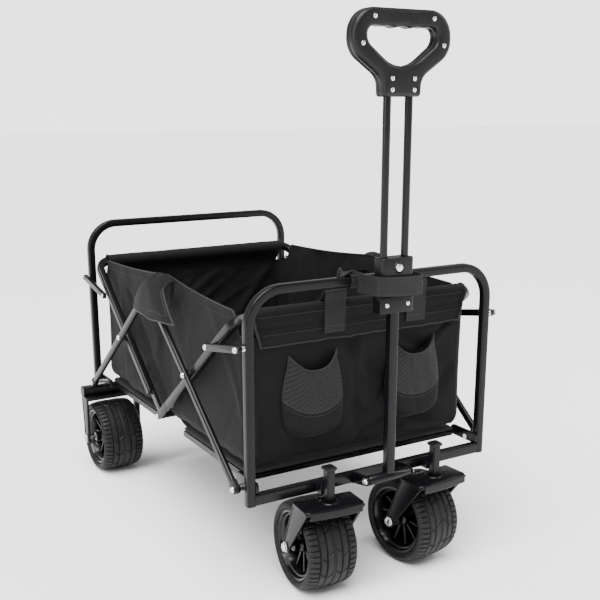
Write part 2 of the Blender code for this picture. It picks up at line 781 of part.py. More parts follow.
def side_cloth(side, sign):
    """One long side of the basket: a thin wall with its top edge peaked at the apex."""
    reach = HOOP_CORNER + HOOP_CLEARANCE
    y_low, y_high = FRONT.hem + reach, REAR.hem - reach
    outline = [(y_low, SIDE_LOW), (y_high, SIDE_LOW), (y_high, SIDE_TOP),
               (Y_MIDDLE, SIDE_APEX), (y_low, SIDE_TOP)]
    low, high = sorted((sign * SIDE_X[0], sign * SIDE_X[1]))
    return node("basket_side_" + side, slab([outline], low, high, FACE_X), FABRIC)


# ---------------------------------------------------------------- wheels

def tyre_profile():
    """Closed section of the tyre, (radius, distance across), outer side top to bottom."""
    wide, outer, inner = WHEEL_HALF_WIDTH, WHEEL_RADIUS, RIM_RADIUS + GAP
    half = [(outer - TREAD_DROP, wide - TREAD_SHOULDER), (outer, wide - TREAD_FLAT),
            (outer, BEAD)]
    top = [(inner, wide - BEAD), (inner + BEAD, wide), (outer - SIDEWALL, wide)]
    upper = top + half
    lower = [(radius, -across) for radius, across in reversed(upper)]
    return upper + lower


def wheel(name, axis):
    """Tyre and spoked rim about an axis matrix whose Z runs along the axle."""
    tyre = node(name + "_tyre", turned(tyre_profile(), axis, WHEEL_STEPS), RUBBER, SMOOTH)
    wide = RIM_HALF_WIDTH
    barrel = turned([(RIM_RADIUS - RIM_WALL, wide), (RIM_RADIUS, wide),
                     (RIM_RADIUS, -wide), (RIM_RADIUS - RIM_WALL, -wide)], axis, WHEEL_STEPS)
    hub = turned([(AXLE_BORE, HUB_HALF_LENGTH), (HUB_RADIUS, HUB_HALF_LENGTH),
                  (HUB_RADIUS, -HUB_HALF_LENGTH), (AXLE_BORE, -HUB_HALF_LENGTH)], axis, 16)
    spokes = []
    for i in range(SPOKES):
        turn = Matrix.Rotation(2 * math.pi * (i + 0.5) / SPOKES, 4, "Z")
        spoke = box((HUB_RADIUS - 2 * WELD, -SPOKE_HALF_THICKNESS, -SPOKE_HALF_WIDTH),
                    (RIM_RADIUS - RIM_WALL + WELD, SPOKE_HALF_THICKNESS, SPOKE_HALF_WIDTH))
        spokes.append(place(spoke, axis @ turn))
    rim = node(name + "_rim", welded(barrel, hub, *spokes), RIM_PLASTIC, SMOOTH)
    return [tyre, rim]


def axle(name, half_width, axis):
    """A bolt through the fork with a head and a nut."""
    end = half_width + GAP
    crown, wide, edge, top = BOLT_HEAD
    half = [(0, end + top), (crown, end + top), (wide, end + edge), (wide, end), (AXLE, end)]
    profile = half + [(radius, -across) for radius, across in reversed(half)]
    return node(name, turned(profile, axis, 12), STEEL, SMOOTH)


def leg_outline(top_near, top_far, top_z, axle_y, axle_z, radius):
    """A fork leg from a wide top to a round end about the axle."""
    return ([(top_near, top_z), (top_far, top_z)][::-1]
            + arc((axle_y, axle_z), radius, 180, 360, 6))


def caster(side, sign):
    """Housing on the crossbar, and the fork, axle and wheel that swivel in it."""
    stem = Matrix.Translation((sign * STEM_X, Y_FRONT - STEM_AHEAD, 0))
    turn = stem @ Matrix.Rotation(sign * TOE, 4, "Z")
    plate = box((-FORK_HALF_WIDTH, FORK_DEPTH[0], FORK_PLATE[0]),
                (FORK_HALF_WIDTH, FORK_DEPTH[1], FORK_PLATE[1]), FORK_BEVEL)
    outline = leg_outline(FORK_DEPTH[0] + LEG_INSET, FORK_DEPTH[1] - LEG_INSET,
                          FORK_PLATE[1] - LEG_DOWN, TRAIL, WHEEL_RADIUS, LEG_END)
    leg = slab([outline], FORK_HALF_WIDTH - FORK_LEG, FORK_HALF_WIDTH - LEG_SKIN, FACE_X)
    shaft = rod((0, 0, FORK_PLATE[0] + 2 * WELD), (0, 0, HOUSING_Z[1] - 2 * WELD), STEM, 16)
    fork = welded(plate, *both_sides(leg), shaft)
    hole = rod_along_x(-BORE_REACH, BORE_REACH, TRAIL, WHEEL_RADIUS, AXLE_BORE, 12)
    fork = node("caster_fork_" + side, place(cut(fork, hole), turn), PAINT, SMOOTH)
    spin = turn @ along_x(0, TRAIL, WHEEL_RADIUS)
    bolt = axle("caster_axle_" + side, FORK_HALF_WIDTH, spin)
    roller = wheel("front_wheel_" + side, spin)
    return fork, bolt, roller


def caster_housings():
    """Square housings on the front of the crossbar, each closed by a wider cap."""
    half = TUBE / 2
    shell = box((-half, -half, HOUSING_Z[0]), (half, half, HOUSING_Z[1]))
    lug = box((-LUG[0], half - WELD, LUG[1]), (LUG[0], STEM_AHEAD - TUBE / 2, LUG[2]))
    cap = box((-PLUG_HALF_WIDTH, -PLUG_HALF_WIDTH, HOUSING_Z[1] - WELD),
              (PLUG_HALF_WIDTH, PLUG_HALF_WIDTH, PLUG_TOP), EDGE_BEVEL)
    shell = welded(shell, lug, cap)
    bore = rod((0, 0, HOUSING_Z[0] - TUBE / 2), (0, 0, HOUSING_Z[1] - WELD), STEM + GAP, 16)
    shell = place(cut(shell, bore), Matrix.Translation((STEM_X, Y_FRONT - STEM_AHEAD, 0)))
    return pair("caster_housing", shell, PAINT)


def rear_fork(side, sign):
    """Inverted U under the rear beam, and the wheel that turns in it."""
    y_axle = Y_REAR - REAR_AXLE_AHEAD
    inner = REAR_FORK_HALF_WIDTH - FORK_LEG
    plate = box((-REAR_FORK_HALF_WIDTH, REAR_FORK_DEPTH[0], REAR_FORK_PLATE[0]),
                (REAR_FORK_HALF_WIDTH, REAR_FORK_DEPTH[1], REAR_FORK_PLATE[1]), REAR_FORK_BEVEL)
    outline = leg_outline(REAR_FORK_DEPTH[0] + WELD, REAR_FORK_DEPTH[1] - LEG_INSET,
                          REAR_FORK_PLATE[0] + LEG_DOWN, 0, WHEEL_RADIUS, LEG_END)
    leg = slab([outline], inner, REAR_FORK_HALF_WIDTH - LEG_SKIN, FACE_X)
    fork = welded(plate, *both_sides(leg))
    fork = cut(fork, rod_along_x(-BORE_REACH, BORE_REACH, 0, WHEEL_RADIUS, AXLE_BORE, 12))
    where = Matrix.Translation((sign * REAR_WHEEL_X, y_axle, 0))
    fork = node("rear_fork_" + side, place(fork, where), PAINT, SMOOTH)
    spin = where @ along_x(0, 0, WHEEL_RADIUS)
    bolt = axle("rear_axle_" + side, REAR_FORK_HALF_WIDTH, spin)
    return fork, bolt, wheel("rear_wheel_" + side, spin)


# ---------------------------------------------------------------- handle

Y_HANDLE = Y_FRONT - HANDLE_AHEAD


def handle_bracket():
    """Back plate on the crossbar with two ears that hold the handle's bolt."""
    face = Y_FRONT - TUBE / 2 - GAP
    low, high = FRONT_BAR[0] + WELD, FRONT_BAR[1] + 2 * BACK_PLATE
    back = box((-EAR[1], face - BACK_PLATE, low), (EAR[1], face, high))
    outline = arc((Y_HANDLE, HANDLE_PIVOT_Z), EAR_RADIUS, 90, 270, 6)
    outline += [(face - WELD, low + WELD), (face - WELD, high - WELD)]
    ear = slab([outline], EAR[0], EAR[1] - LEG_SKIN / 2, FACE_X)
    bracket = welded(back, *both_sides(ear))
    hole = rod_along_x(-BORE_REACH, BORE_REACH, Y_HANDLE, HANDLE_PIVOT_Z, BOLT + GAP, 12)
    return node("handle_bracket", cut(bracket, hole), PAINT)


def handle_bolt():
    end = EAR[1] + GAP
    half = [(0, end + BOLT_CAP), (BOLT_RIM, end + BOLT_CAP), (BOLT_RIM, end), (BOLT, end)]
    profile = half + [(radius, -across) for radius, across in reversed(half)]
    bolt = turned(profile, along_x(0, Y_HANDLE, HANDLE_PIVOT_Z), 12)
    return node("handle_pivot_bolt", bolt, STEEL, SMOOTH)


def handle_lower():
    """Pivot sleeve, square centre tube and the collar on top of it."""
    outer, inner = SLEEVE_RADIUS, BOLT + GAP
    sleeve = turned([(inner, SLEEVE_HALF_LENGTH), (outer, SLEEVE_HALF_LENGTH),
                     (outer, -SLEEVE_HALF_LENGTH), (inner, -SLEEVE_HALF_LENGTH)],
                    along_x(0, Y_HANDLE, HANDLE_PIVOT_Z), 24)
    foot = HANDLE_PIVOT_Z + SLEEVE_RADIUS - WELD
    tube = bar((0, Y_HANDLE, foot), (0, Y_HANDLE, COLLAR_Z[0] - GAP), HANDLE_TUBE,
               HANDLE_TUBE, TUBE_CORNER)
    tube = node("handle_tube", welded(tube, sleeve), PAINT, SMOOTH)
    outline = rounded_rectangle(COLLAR_HALF_WIDTH, COLLAR_HALF_DEPTH, COLLAR_CORNER, 4)
    collar = slab([outline, circle((-ROD_X, 0), ROD_BORE), circle((ROD_X, 0), ROD_BORE)],
                  *COLLAR_Z, Matrix.Translation((0, Y_HANDLE, 0)))
    recess = rod((0, Y_HANDLE - COLLAR_HALF_DEPTH - WELD, BUTTON_Z),
                 (0, Y_HANDLE - RECESS_BACK, BUTTON_Z), BUTTON_RADIUS + RECESS_GAP, 24)
    collar = node("handle_collar", cut(collar, recess), PLASTIC, SMOOTH)
    button = rod((0, Y_HANDLE - COLLAR_HALF_DEPTH - BUTTON_PROUD, BUTTON_Z),
                 (0, Y_HANDLE - BUTTON_BACK, BUTTON_Z), BUTTON_RADIUS, 24)
    return tube, collar, node("release_button", button, STEEL, SMOOTH)


def grip_outlines():
    """Outer outline of the grip and its hand hole, in x and z."""
    shoulder_z, crown_z = GRIP_LOW + 0.024, GRIP_LOW + 0.068
    right = [(NECK_HALF_WIDTH, GRIP_LOW), (NECK_HALF_WIDTH + 0.002, shoulder_z),
             (GRIP_HALF_WIDTH, crown_z), (GRIP_HALF_WIDTH - 0.004, GRIP_TOP)]
    radii = [0.004, 0.024, 0.034, 0.036]
    left = [(-across, up) for across, up in reversed(right)]
    outer = filleted(right + left, radii + radii[::-1], 5)
    right = [(0.028, 0.902), (0.066, 0.934), (0.064, 0.960)]
    radii = [0.012, 0.014, 0.014]
    left = [(-across, up) for across, up in reversed(right)]
    return outer, filleted(right + left, radii + radii[::-1], 4)


def handle_upper():
    """Twin rods joined by the slider at their feet, and the grip on top."""
    outline = rounded_rectangle(SLIDER_HALF_WIDTH, SLIDER_HALF_DEPTH, SLIDER_CORNER, 3)
    window = rounded_rectangle(HANDLE_TUBE / 2 + GAP, HANDLE_TUBE / 2 + GAP, 0.002, 1)
    slider = slab([outline, window], *SLIDER_Z, Matrix.Translation((0, Y_HANDLE, 0)))
    rods = [rod((sign * ROD_X, Y_HANDLE, SLIDER_Z[0] + 3 * WELD),
                (sign * ROD_X, Y_HANDLE, GRIP_LOW - GAP), ROD_RADIUS, 16) for sign in (-1, 1)]
    rods = node("handle_rods", welded(slider, *rods), PAINT, SMOOTH)
    body = slab(list(grip_outlines()), -GRIP_HALF_DEPTH, GRIP_HALF_DEPTH,
                Matrix.Translation((0, Y_HANDLE, 0)) @ FACE_Y)
    grip = node("grip", body, PLASTIC)
    bevel = grip.modifiers.new("round", "BEVEL")
    bevel.width = GRIP_BEVEL
    bevel.segments = 1
    bevel.limit_method = "ANGLE"
    bevel.angle_limit = math.radians(BEVEL_FROM)
    return rods, grip


def strap():
    """Hook and loop strap that holds the upright handle to the front frame's top bar."""
    back = Y_FRONT - TUBE / 2 - WELD
    front = Y_HANDLE - COLLAR_HALF_DEPTH - STRAP_AHEAD
    wide, thick = STRAP_HALF_WIDTH, STRAP_THICKNESS
    outer = [(-wide, back), (-wide, front), (wide, front), (wide, back)]
    inner = [(wide - thick, back), (wide - thick, front + thick),
             (-wide + thick, front + thick), (-wide + thick, back)]
    return node("closure_strap", slab([outer + inner], *STRAP_Z, FACE_Z), FABRIC)


# ---------------------------------------------------------------- assembly

def build():
    bores = make_bores()
    upright_frame(FRONT, bores)
    fold_pins(FRONT)
    caster_housings()
    handle_bracket()
    handle_bolt()
    strap()

    rear_pieces = [upright_frame(REAR, bores), *fold_pins(REAR)]
    for end in (FRONT, REAR):
        pivot(end.name + "_strut_pivot", (0, end.low, LOW_PIVOT_Z), *struts(end, bores))
        hoop_pieces = [basket_hoop(end, bores)]
        if end is FRONT:
            hoop_pieces.append(centre_bar())
        pivot(end.name + "_crossing_pivot", (0, end.crossing, CROSSING_Z), *hoop_pieces)
        pivot(end.name + "_link_pivot", (0, end.plane, LINK_POST_Z), *side_links(end, bores))
        pivot(end.name + "_floor_pivot", (0, end.floor, LOW_PIVOT_Z), *floor_half(end))
        cloth = [end_cloth(end)]
        if end is FRONT:
            for side, sign in (("left", -1), ("right", 1)):
                cloth += [pocket(side, sign), side_cloth(side, sign)]
        pivot(end.name + "_hem_pivot", (0, end.hem, HEM_Z), *cloth)

    for side, sign in (("left", -1), ("right", 1)):
        fork, bolt, roller = caster(side, sign)
        stem = (sign * STEM_X, Y_FRONT - STEM_AHEAD, FORK_PLATE[1])
        pivot("caster_pivot_" + side, stem, fork, bolt)
        turn = Matrix.Translation(stem) @ Matrix.Rotation(sign * TOE, 4, "Z")
        hub = turn @ Vector((0, TRAIL, 0))
        pivot("front_wheel_pivot_" + side, (hub.x, hub.y, WHEEL_RADIUS), *roller)
        fork, bolt, roller = rear_fork(side, sign)
        rear_pieces += [fork, bolt]
        pivot("rear_wheel_pivot_" + side,
              (sign * REAR_WHEEL_X, Y_REAR - REAR_AXLE_AHEAD, WHEEL_RADIUS), *roller)
    pivot("rear_frame_pivot", (0, REAR.low, LOW_PIVOT_Z), *rear_pieces)

    tube, collar, button = handle_lower()
    pivot("handle_pivot", (0, Y_HANDLE, HANDLE_PIVOT_Z), tube, collar)
    pivot("button_slide", (0, Y_HANDLE - COLLAR_HALF_DEPTH, BUTTON_Z), button)
    pivot("handle_slide", (0, Y_HANDLE, SLIDER_Z[0]), *handle_upper())


build()
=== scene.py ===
import math

import bmesh
import bpy
import numpy as np
from mathutils import Matrix, Vector


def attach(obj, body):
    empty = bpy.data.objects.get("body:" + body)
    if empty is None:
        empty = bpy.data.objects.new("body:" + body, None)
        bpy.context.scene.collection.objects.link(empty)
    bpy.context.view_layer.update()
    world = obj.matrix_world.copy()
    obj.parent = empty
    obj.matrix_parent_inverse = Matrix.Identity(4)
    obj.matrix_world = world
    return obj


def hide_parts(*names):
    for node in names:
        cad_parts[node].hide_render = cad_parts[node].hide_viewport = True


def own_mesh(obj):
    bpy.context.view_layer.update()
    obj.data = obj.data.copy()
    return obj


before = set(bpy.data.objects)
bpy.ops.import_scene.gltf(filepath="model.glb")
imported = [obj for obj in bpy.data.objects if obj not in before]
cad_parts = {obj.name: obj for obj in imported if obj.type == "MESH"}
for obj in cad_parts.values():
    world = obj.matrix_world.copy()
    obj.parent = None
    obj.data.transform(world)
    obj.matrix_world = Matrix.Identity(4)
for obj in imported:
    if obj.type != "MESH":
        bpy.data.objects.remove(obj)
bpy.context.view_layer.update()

SIDES = (("left", -1), ("right", 1))

# Places shared with the CAD model, in metres
Y_FRONT, Y_REAR, Y_MIDDLE = -0.38025, 0.38175, 0.00075
Y_HANDLE = -0.43025
HALF_WIDTH = 0.25
TUBE = 0.016
FRONT_TOP, REAR_TOP = 0.556, 0.584
PIVOT_Z = 0.217
HALF_SPACING, PIVOT_INSET = 0.381, 0.02
STRUT_LENGTH, CROSSING, ARM_ABOVE, LINK_REACH = 0.457, 0.247, 0.222, 0.12
OPEN_ANGLE = math.asin((HALF_SPACING - PIVOT_INSET) / STRUT_LENGTH)
SIN, COS = math.sin(OPEN_ANGLE), math.cos(OPEN_ANGLE)
ARM_BELOW = STRUT_LENGTH - CROSSING
STRUT_X, LINK_X = 0.267, 0.2665
STRUT_LAP, HOOP_LAP = 0.055, 0.059
APEX_Z = PIVOT_Z + STRUT_LENGTH * COS
CROSSING_Z = PIVOT_Z + CROSSING * COS
BOTTOM_Z = CROSSING_Z - ARM_BELOW * COS
HEM_Z = CROSSING_Z + ARM_ABOVE * COS
LINK_POST_Z = 0.4642
LINK_ARM_Z = CROSSING_Z + LINK_REACH * COS
WHEEL_RADIUS, WHEEL_HALF_WIDTH = 0.0825, 0.0475
RIM_RADIUS, SPOKES = 0.0645, 10
STEM_X, STEM_Y, TRAIL = 0.115, Y_FRONT - 0.035, 0.055
TOE = math.radians(5)
ROD_X, GRIP_DEPTH = 0.0215, 0.0142
HANDLE_PIVOT_Z, BUTTON_Z = 0.209, 0.583
FLAT = Matrix.Identity(4)


class End:
    """The front or the rear of the wagon: its plane, and the way to the middle."""

    def __init__(self, name, plane, inward, top, foot):
        self.name, self.plane, self.inward, self.top, self.foot = name, plane, inward, top, foot
        self.low = plane + inward * PIVOT_INSET
        self.crossing = self.low + inward * CROSSING * SIN
        self.hem = self.crossing - inward * ARM_ABOVE * SIN
        self.link = self.crossing - inward * LINK_REACH * SIN
        self.floor = plane + inward * 0.054


FRONT = End("front", Y_FRONT, 1, FRONT_TOP, 0.19)
REAR = End("rear", Y_REAR, -1, REAR_TOP, 0.193)
ENDS = (FRONT, REAR)


# ---- materials

def material(name, grey, roughness, vary, blotch, grain, rough_vary=0.08, pattern=None,
             **sockets):
    """A surface whose colour and roughness wander a little over a fine grain.

    grey is the level of red and green, and that of blue. vary is the share by which the
    colour wanders, over patches of scale blotch. grain is the grain's scale and depth.
    """
    made = bpy.data.materials.new(name)
    made.use_nodes = True
    tree = made.node_tree
    shader = tree.nodes["Principled BSDF"]
    for socket, value in sockets.items():
        shader.inputs[socket.replace("_", " ")].default_value = value

    def add(kind, **values):
        item = tree.nodes.new(kind)
        for key, value in values.items():
            if key in item.inputs:
                item.inputs[key].default_value = value
            else:
                setattr(item, key, value)
        return item

    def wire(start, out, end, into):
        tree.links.new(start.outputs[out], end.inputs[into])

    place = add("ShaderNodeTexCoord")
    cloud = add("ShaderNodeTexNoise", Scale=blotch, Detail=6.0, Roughness=0.6)
    wire(place, "Object", cloud, "Vector")
    ramp = add("ShaderNodeValToRGB")
    for stop, position, share in zip(ramp.color_ramp.elements, (0.34, 0.66),
                                     (1 - vary, 1 + vary)):
        stop.position = position
        stop.color = (grey[0] * share, grey[0] * share, grey[1] * share, 1)
    wire(cloud, "Fac", ramp, "Fac")
    spread = add("ShaderNodeMapRange", **{"To Min": roughness - rough_vary,
                                          "To Max": roughness + rough_vary})
    wire(cloud, "Fac", spread, "Value")
    wire(spread, "Result", shader, "Roughness")
    fine = add("ShaderNodeTexNoise", Scale=grain[0], Detail=3.0)
    wire(place, "Object", fine, "Vector")
    bump = add("ShaderNodeBump", Strength=0.6, Distance=grain[1])
    wire(fine, "Fac", bump, "Height")
    last_colour = (ramp, "Color")
    if pattern:
        last_colour, bump = pattern(add, wire, place, last_colour, bump)
    wire(*last_colour, shader, "Base Color")
    wire(bump, "Normal", shader, "Normal")
    return made


WAVE = 2 * math.pi / 20          # length of one wave of a wave texture of scale 1
DIAGONAL = 0.785


def woven(pitch, depth, contrast, angle=0.0):
    """Threads over and under each other, from the piece's own UV in metres."""
    def pattern(add, wire, place, colour, grain):
        spin = add("ShaderNodeMapping")
        spin.inputs["Rotation"].default_value = (0, 0, angle)
        wire(place, "UV", spin, "Vector")
        waves = []
        for axis in ("X", "Y"):
            wave = add("ShaderNodeTexWave", Scale=WAVE / pitch, Distortion=0.25,
                       bands_direction=axis)
            wave.inputs["Detail Scale"].default_value = 3.0
            wire(spin, "Vector", wave, "Vector")
            waves.append(wave)
        cross = add("ShaderNodeMath", operation="MAXIMUM")
        for side, wave in enumerate(waves):
            wire(wave, "Fac", cross, side)
        shade = add("ShaderNodeMapRange", **{"To Min": 1 - contrast, "To Max": 1 + contrast})
        wire(cross, "Value", shade, "Value")
        mixed = add("ShaderNodeVectorMath", operation="SCALE")
        wire(*colour, mixed, 0)
        wire(shade, "Result", mixed, "Scale")
        bump = add("ShaderNodeBump", Strength=0.7, Distance=depth)
        wire(cross, "Value", bump, "Height")
        wire(grain, "Normal", bump, "Normal")
        return (mixed, "Vector"), bump
    return pattern


def textile(name, grey, roughness, vary, blotch, grain, specular, sheen, weave):
    """A woven material; sheen is its weight and its roughness."""
    return material(name, grey, roughness, vary, blotch, grain, pattern=woven(*weave),
                    Specular_IOR_Level=specular, Sheen_Weight=sheen[0],
                    Sheen_Roughness=sheen[1])


PAINT = material("satin_powder_coat", (0.0032, 0.004), 0.27, 0.18, 7.0, (1400.0, 0.00005),
                 Specular_IOR_Level=0.17, Coat_Weight=0.03, Coat_Roughness=0.12)
STEEL = material("zinc_plate", (0.68, 0.7), 0.26, 0.12, 160.0, (1800.0, 0.00003), Metallic=1.0)
PLASTIC = material("grained_plastic", (0.005, 0.0058), 0.4, 0.15, 18.0, (1700.0, 0.0001),
                   Specular_IOR_Level=0.22)
GLOSS = material("gloss_plastic", (0.003, 0.0036), 0.22, 0.2, 22.0, (700.0, 0.00003),
                 Specular_IOR_Level=0.24, Coat_Weight=0.06, Coat_Roughness=0.1)
RUBBER = material("tyre_rubber_moulded", (0.0062, 0.0067), 0.55, 0.28, 45.0, (1100.0, 0.00014),
                  0.1, Specular_IOR_Level=0.22)
FABRIC = textile("plain_weave_polyester", (0.0046, 0.005), 0.76, 0.16, 6.0, (2200.0, 0.00005),
                 0.13, (0.02, 0.4), (0.001, 0.00018, 0.22))
LINER = textile("coated_lining", (0.0056, 0.006), 0.7, 0.18, 5.0, (1500.0, 0.00006),
                0.22, (0.03, 0.5), (0.0014, 0.00014, 0.15))
WEBBING = textile("ribbed_webbing", (0.0056, 0.006), 0.62, 0.12, 20.0, (2400.0, 0.00008),
                  0.22, (0.03, 0.4), (0.0042, 0.0008, 0.6))
PIPING = textile("piping_tape", (0.0078, 0.0082), 0.58, 0.15, 40.0, (2600.0, 0.0001),
                 0.3, (0.04, 0.4), (0.0012, 0.0002, 0.25, DIAGONAL))
NETTING = textile("knotted_mesh", (0.0052, 0.0056), 0.6, 0.15, 12.0, (2000.0, 0.00006),
                  0.22, (0.02, 0.4), (0.0062, 0.0015, 0.95, DIAGONAL))
THREAD = material("stitch_thread", (0.014, 0.0148), 0.55, 0.2, 80.0, (3000.0, 0.00005))


# ---- shape helpers

def unit(vector):
    """The vector at length 1, without dividing by 0."""
    return vector / max(np.linalg.norm(vector), 1e-12)


def linked(name, data):
    """A new object in the scene."""
    made = bpy.data.objects.new(name, data)
    bpy.context.scene.collection.objects.link(made)
    return made


def baked(carrier):
    """The final mesh of an object that is then removed."""
    bpy.context.view_layer.update()
    graph = bpy.context.evaluated_depsgraph_get()
    mesh = bpy.data.meshes.new_from_object(carrier.evaluated_get(graph))
    bpy.data.objects.remove(carrier, do_unlink=True)
    return mesh


def poured(shape):
    """A new mesh from a bmesh, which is then freed."""
    mesh = bpy.data.meshes.new("shape")
    shape.to_mesh(mesh)
    shape.free()
    return mesh


def shaded(mesh, smooth=35):
    """Smooth shading up to an angle in degrees."""
    mesh.shade_smooth()
    mesh.set_sharp_from_angle(angle=math.radians(smooth))
    return mesh


def finished(mesh, smooth=35):
    """Join coincident points, face everything outward and shade it smooth up to an angle."""
    shape = bmesh.new()
    shape.from_mesh(mesh)
    bmesh.ops.remove_doubles(shape, verts=shape.verts, dist=1e-6)
    bmesh.ops.recalc_face_normals(shape, faces=shape.faces)
    shape.to_mesh(mesh)
    shape.free()
    return shaded(mesh, smooth)


def grid(rows, ring=False, loop=False, caps=False, smooth=35):
    """A mesh over rows of points, with UVs in metres. A ring closes each row, a loop the rows."""
    rows = np.asarray(rows, float)
    count, wide = rows.shape[:2]
    along = np.concatenate([rows, rows[:1]]) if loop else rows
    across = np.concatenate([rows, rows[:, :1]], axis=1) if ring else rows
    u = np.concatenate([[0], np.cumsum(np.linalg.norm(np.diff(along, axis=0), axis=2).mean(1))])
    v = np.concatenate([[0], np.cumsum(np.linalg.norm(np.diff(across, axis=1), axis=2).mean(0))])
    faces, uvs = [], []
    for i in range(len(u) - 1):
        for j in range(len(v) - 1):
            k, l = (i + 1) % count, (j + 1) % wide
            faces.append((i * wide + j, k * wide + j, k * wide + l, i * wide + l))
            uvs += [(u[i], v[j]), (u[i + 1], v[j]), (u[i + 1], v[j + 1]), (u[i], v[j + 1])]
    if caps:
        for face in (list(range(wide)), list(range((count - 1) * wide, count * wide))):
            faces.append(tuple(face))
            uvs += [(v[j], 0.0) for j in range(wide)]
    mesh = bpy.data.meshes.new("shape")
    mesh.from_pydata([tuple(point) for point in rows.reshape(-1, 3)], [], faces)
    layer = mesh.uv_layers.new(name="UVMap")
    layer.data.foreach_set("uv", np.array(uvs, np.float32).ravel())
    return finished(mesh, smooth)


def corner_arc(before, here, after, radius, steps):
    """Points of the arc that rounds one corner."""
    back, ahead = (before - here).normalized(), (after - here).normalized()
    half = back.angle(ahead) / 2
    middle = here + (back + ahead).normalized() * radius / math.sin(half)
    first = here + back * radius / math.tan(half) - middle
    last = here + ahead * radius / math.tan(half) - middle
    turn = first.angle(last)
    return [middle + (first * math.sin((1 - t) * turn) + last * math.sin(t * turn))
            / math.sin(turn) for t in np.linspace(0, 1, steps + 1)]


def bend(corners, radius, steps):
    """A path through the corners, each rounded to the radius."""
    corners = [Vector(corner) for corner in corners]
    points = corners[:1]
    for three in zip(corners, corners[1:], corners[2:]):
        points += corner_arc(*three, radius, steps)
    return points + corners[-1:]


def filleted(corners, radii, steps=6):
    """A closed flat outline whose corners are rounded, each with its own radius."""
    corners, points = [Vector(corner) for corner in corners], []
    for i, radius in enumerate(radii):
        points += corner_arc(corners[i - 1], corners[i], corners[(i + 1) % len(corners)],
                             radius, steps)
    return [tuple(point) for point in points]


def doubled(half):
    """A profile and its reflection in the line where the second number is 0."""
    return half + [(a, -b) for a, b in reversed(half) if b]


def both_sides(right):
    """An outline's right half and its reflection, in one line round."""
    return right + [(-a, b) for a, b in reversed(right)]


def rounded_box(half_width, half_height, radius, steps=4):
    """Outline of a rectangle about the origin, with rounded corners."""
    corners = [(-half_width, -half_height), (half_width, -half_height),
               (half_width, half_height), (-half_width, half_height)]
    return filleted(corners, [radius] * 4, steps)


def circle(radius, sides=24):
    return [(radius * math.cos(a), radius * math.sin(a))
            for a in np.linspace(0, 2 * math.pi, sides, endpoint=False)]


def arc(centre, radius, start, end, steps):
    return [(centre[0] + radius * math.cos(math.radians(a)),
             centre[1] + radius * math.sin(math.radians(a)))
            for a in np.linspace(start, end, steps + 1)]


def sweep(path, section, normal, loop=False):
    """Rows for a section carried along a path whose plane has this normal."""
    path, normal = np.array([tuple(p) for p in path], float), unit(np.array(normal, float))
    rows, count = [], len(path)
    for i in range(count):
        back = path[i] - path[i - 1] if i or loop else path[1] - path[0]
        ahead = path[(i + 1) % count] - path[i] if i < count - 1 or loop else back
        heading = unit(unit(back) + unit(ahead))
        side = unit(np.cross(normal, heading))
        mitre = 1 / max(0.5, float(heading @ unit(ahead)))
        rows.append([path[i] + normal * s + side * t * mitre for s, t in section])
    return rows


def tube(path, section, normal=(1, 0, 0)):
    """A closed solid: a section carried along a path."""
    return grid(sweep(path, section, normal), ring=True, caps=True)


def turned(profile, steps=32, axis=FLAT, smooth=35):
    """A profile of (radius, height) points turned about Z, then placed."""
    closed = profile[0][0] > 0 and profile[-1][0] > 0
    rows = [[(r * math.cos(a), r * math.sin(a), h) for r, h in profile]
            for a in np.linspace(0, 2 * math.pi, steps, endpoint=False)]
    mesh = grid(rows, ring=closed, loop=True, smooth=smooth)
    mesh.transform(axis)
    return mesh


def plate(outlines, low, high, facing, edge=0.0008, smooth=35):
    """Flat outlines, a later one cutting a hole, with rounded edges."""
    curve = bpy.data.curves.new("outline", "CURVE")
    curve.dimensions, curve.fill_mode = "2D", "BOTH"
    curve.extrude = (high - low) / 2 - edge
    curve.bevel_depth, curve.bevel_resolution, curve.offset = edge, 2, -edge
    for outline in outlines:
        spline = curve.splines.new("POLY")
        spline.points.add(len(outline) - 1)
        for point, (across, up) in zip(spline.points, outline):
            point.co = (across, up, 0, 1)
        spline.use_cyclic_u = True
    mesh = baked(linked("outline", curve))
    mesh.transform(facing @ Matrix.Translation((0, 0, (high + low) / 2)))
    mesh.materials.clear()
    return finished(mesh, smooth)


FACE_X = Matrix(((0, 0, 1), (1, 0, 0), (0, 1, 0))).to_4x4()
FACE_Y = Matrix(((1, 0, 0), (0, 0, -1), (0, 1, 0))).to_4x4()


def block(low, high, edge=0.0012):
    """A box with rounded edges."""
    shape = bmesh.new()
    bmesh.ops.create_cube(shape, size=1.0)
    bmesh.ops.scale(shape, vec=[b - a for a, b in zip(low, high)], verts=shape.verts)
    bmesh.ops.translate(shape, vec=[(a + b) / 2 for a, b in zip(low, high)], verts=shape.verts)
    bmesh.ops.bevel(shape, geom=shape.edges, offset=edge, segments=3, affect="EDGES")
    return finished(poured(shape))


def mirrored(mesh):
    """A copy of the mesh on the other side of the plane x = 0."""
    twin = mesh.copy()
    twin.transform(Matrix.Scale(-1, 4, (1, 0, 0)))
    twin.flip_normals()
    return twin


def joined(*meshes):
    """One mesh from several."""
    shape = bmesh.new()
    for mesh in meshes:
        shape.from_mesh(mesh)
    return shaded(poured(shape))


def piece(name, mesh, finish, body, *nodes, slot=None):
    """Link a finished mesh as a piece on a body, standing for CAD nodes."""
    mesh.name = name
    mesh.materials.clear()
    mesh.materials.append(finish)
    made = linked(name, mesh)
    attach(made, body)
    if nodes:
        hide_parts(*nodes)
    return made


def both(name, mesh, finish, body, *nodes):
    """A right-hand piece and its mirror image, each standing for its own side's nodes."""
    for side, sign in SIDES:
        piece(f"{name}_{side}", mesh.copy() if sign > 0 else mirrored(mesh), finish, body,
              *[f"{node}_{side}" for node in nodes])


def along_x(x, y, z):
    """Axis matrix that turns Z to X."""
    return Matrix.Translation((x, y, z)) @ Matrix.Rotation(math.radians(90), 4, "Y")


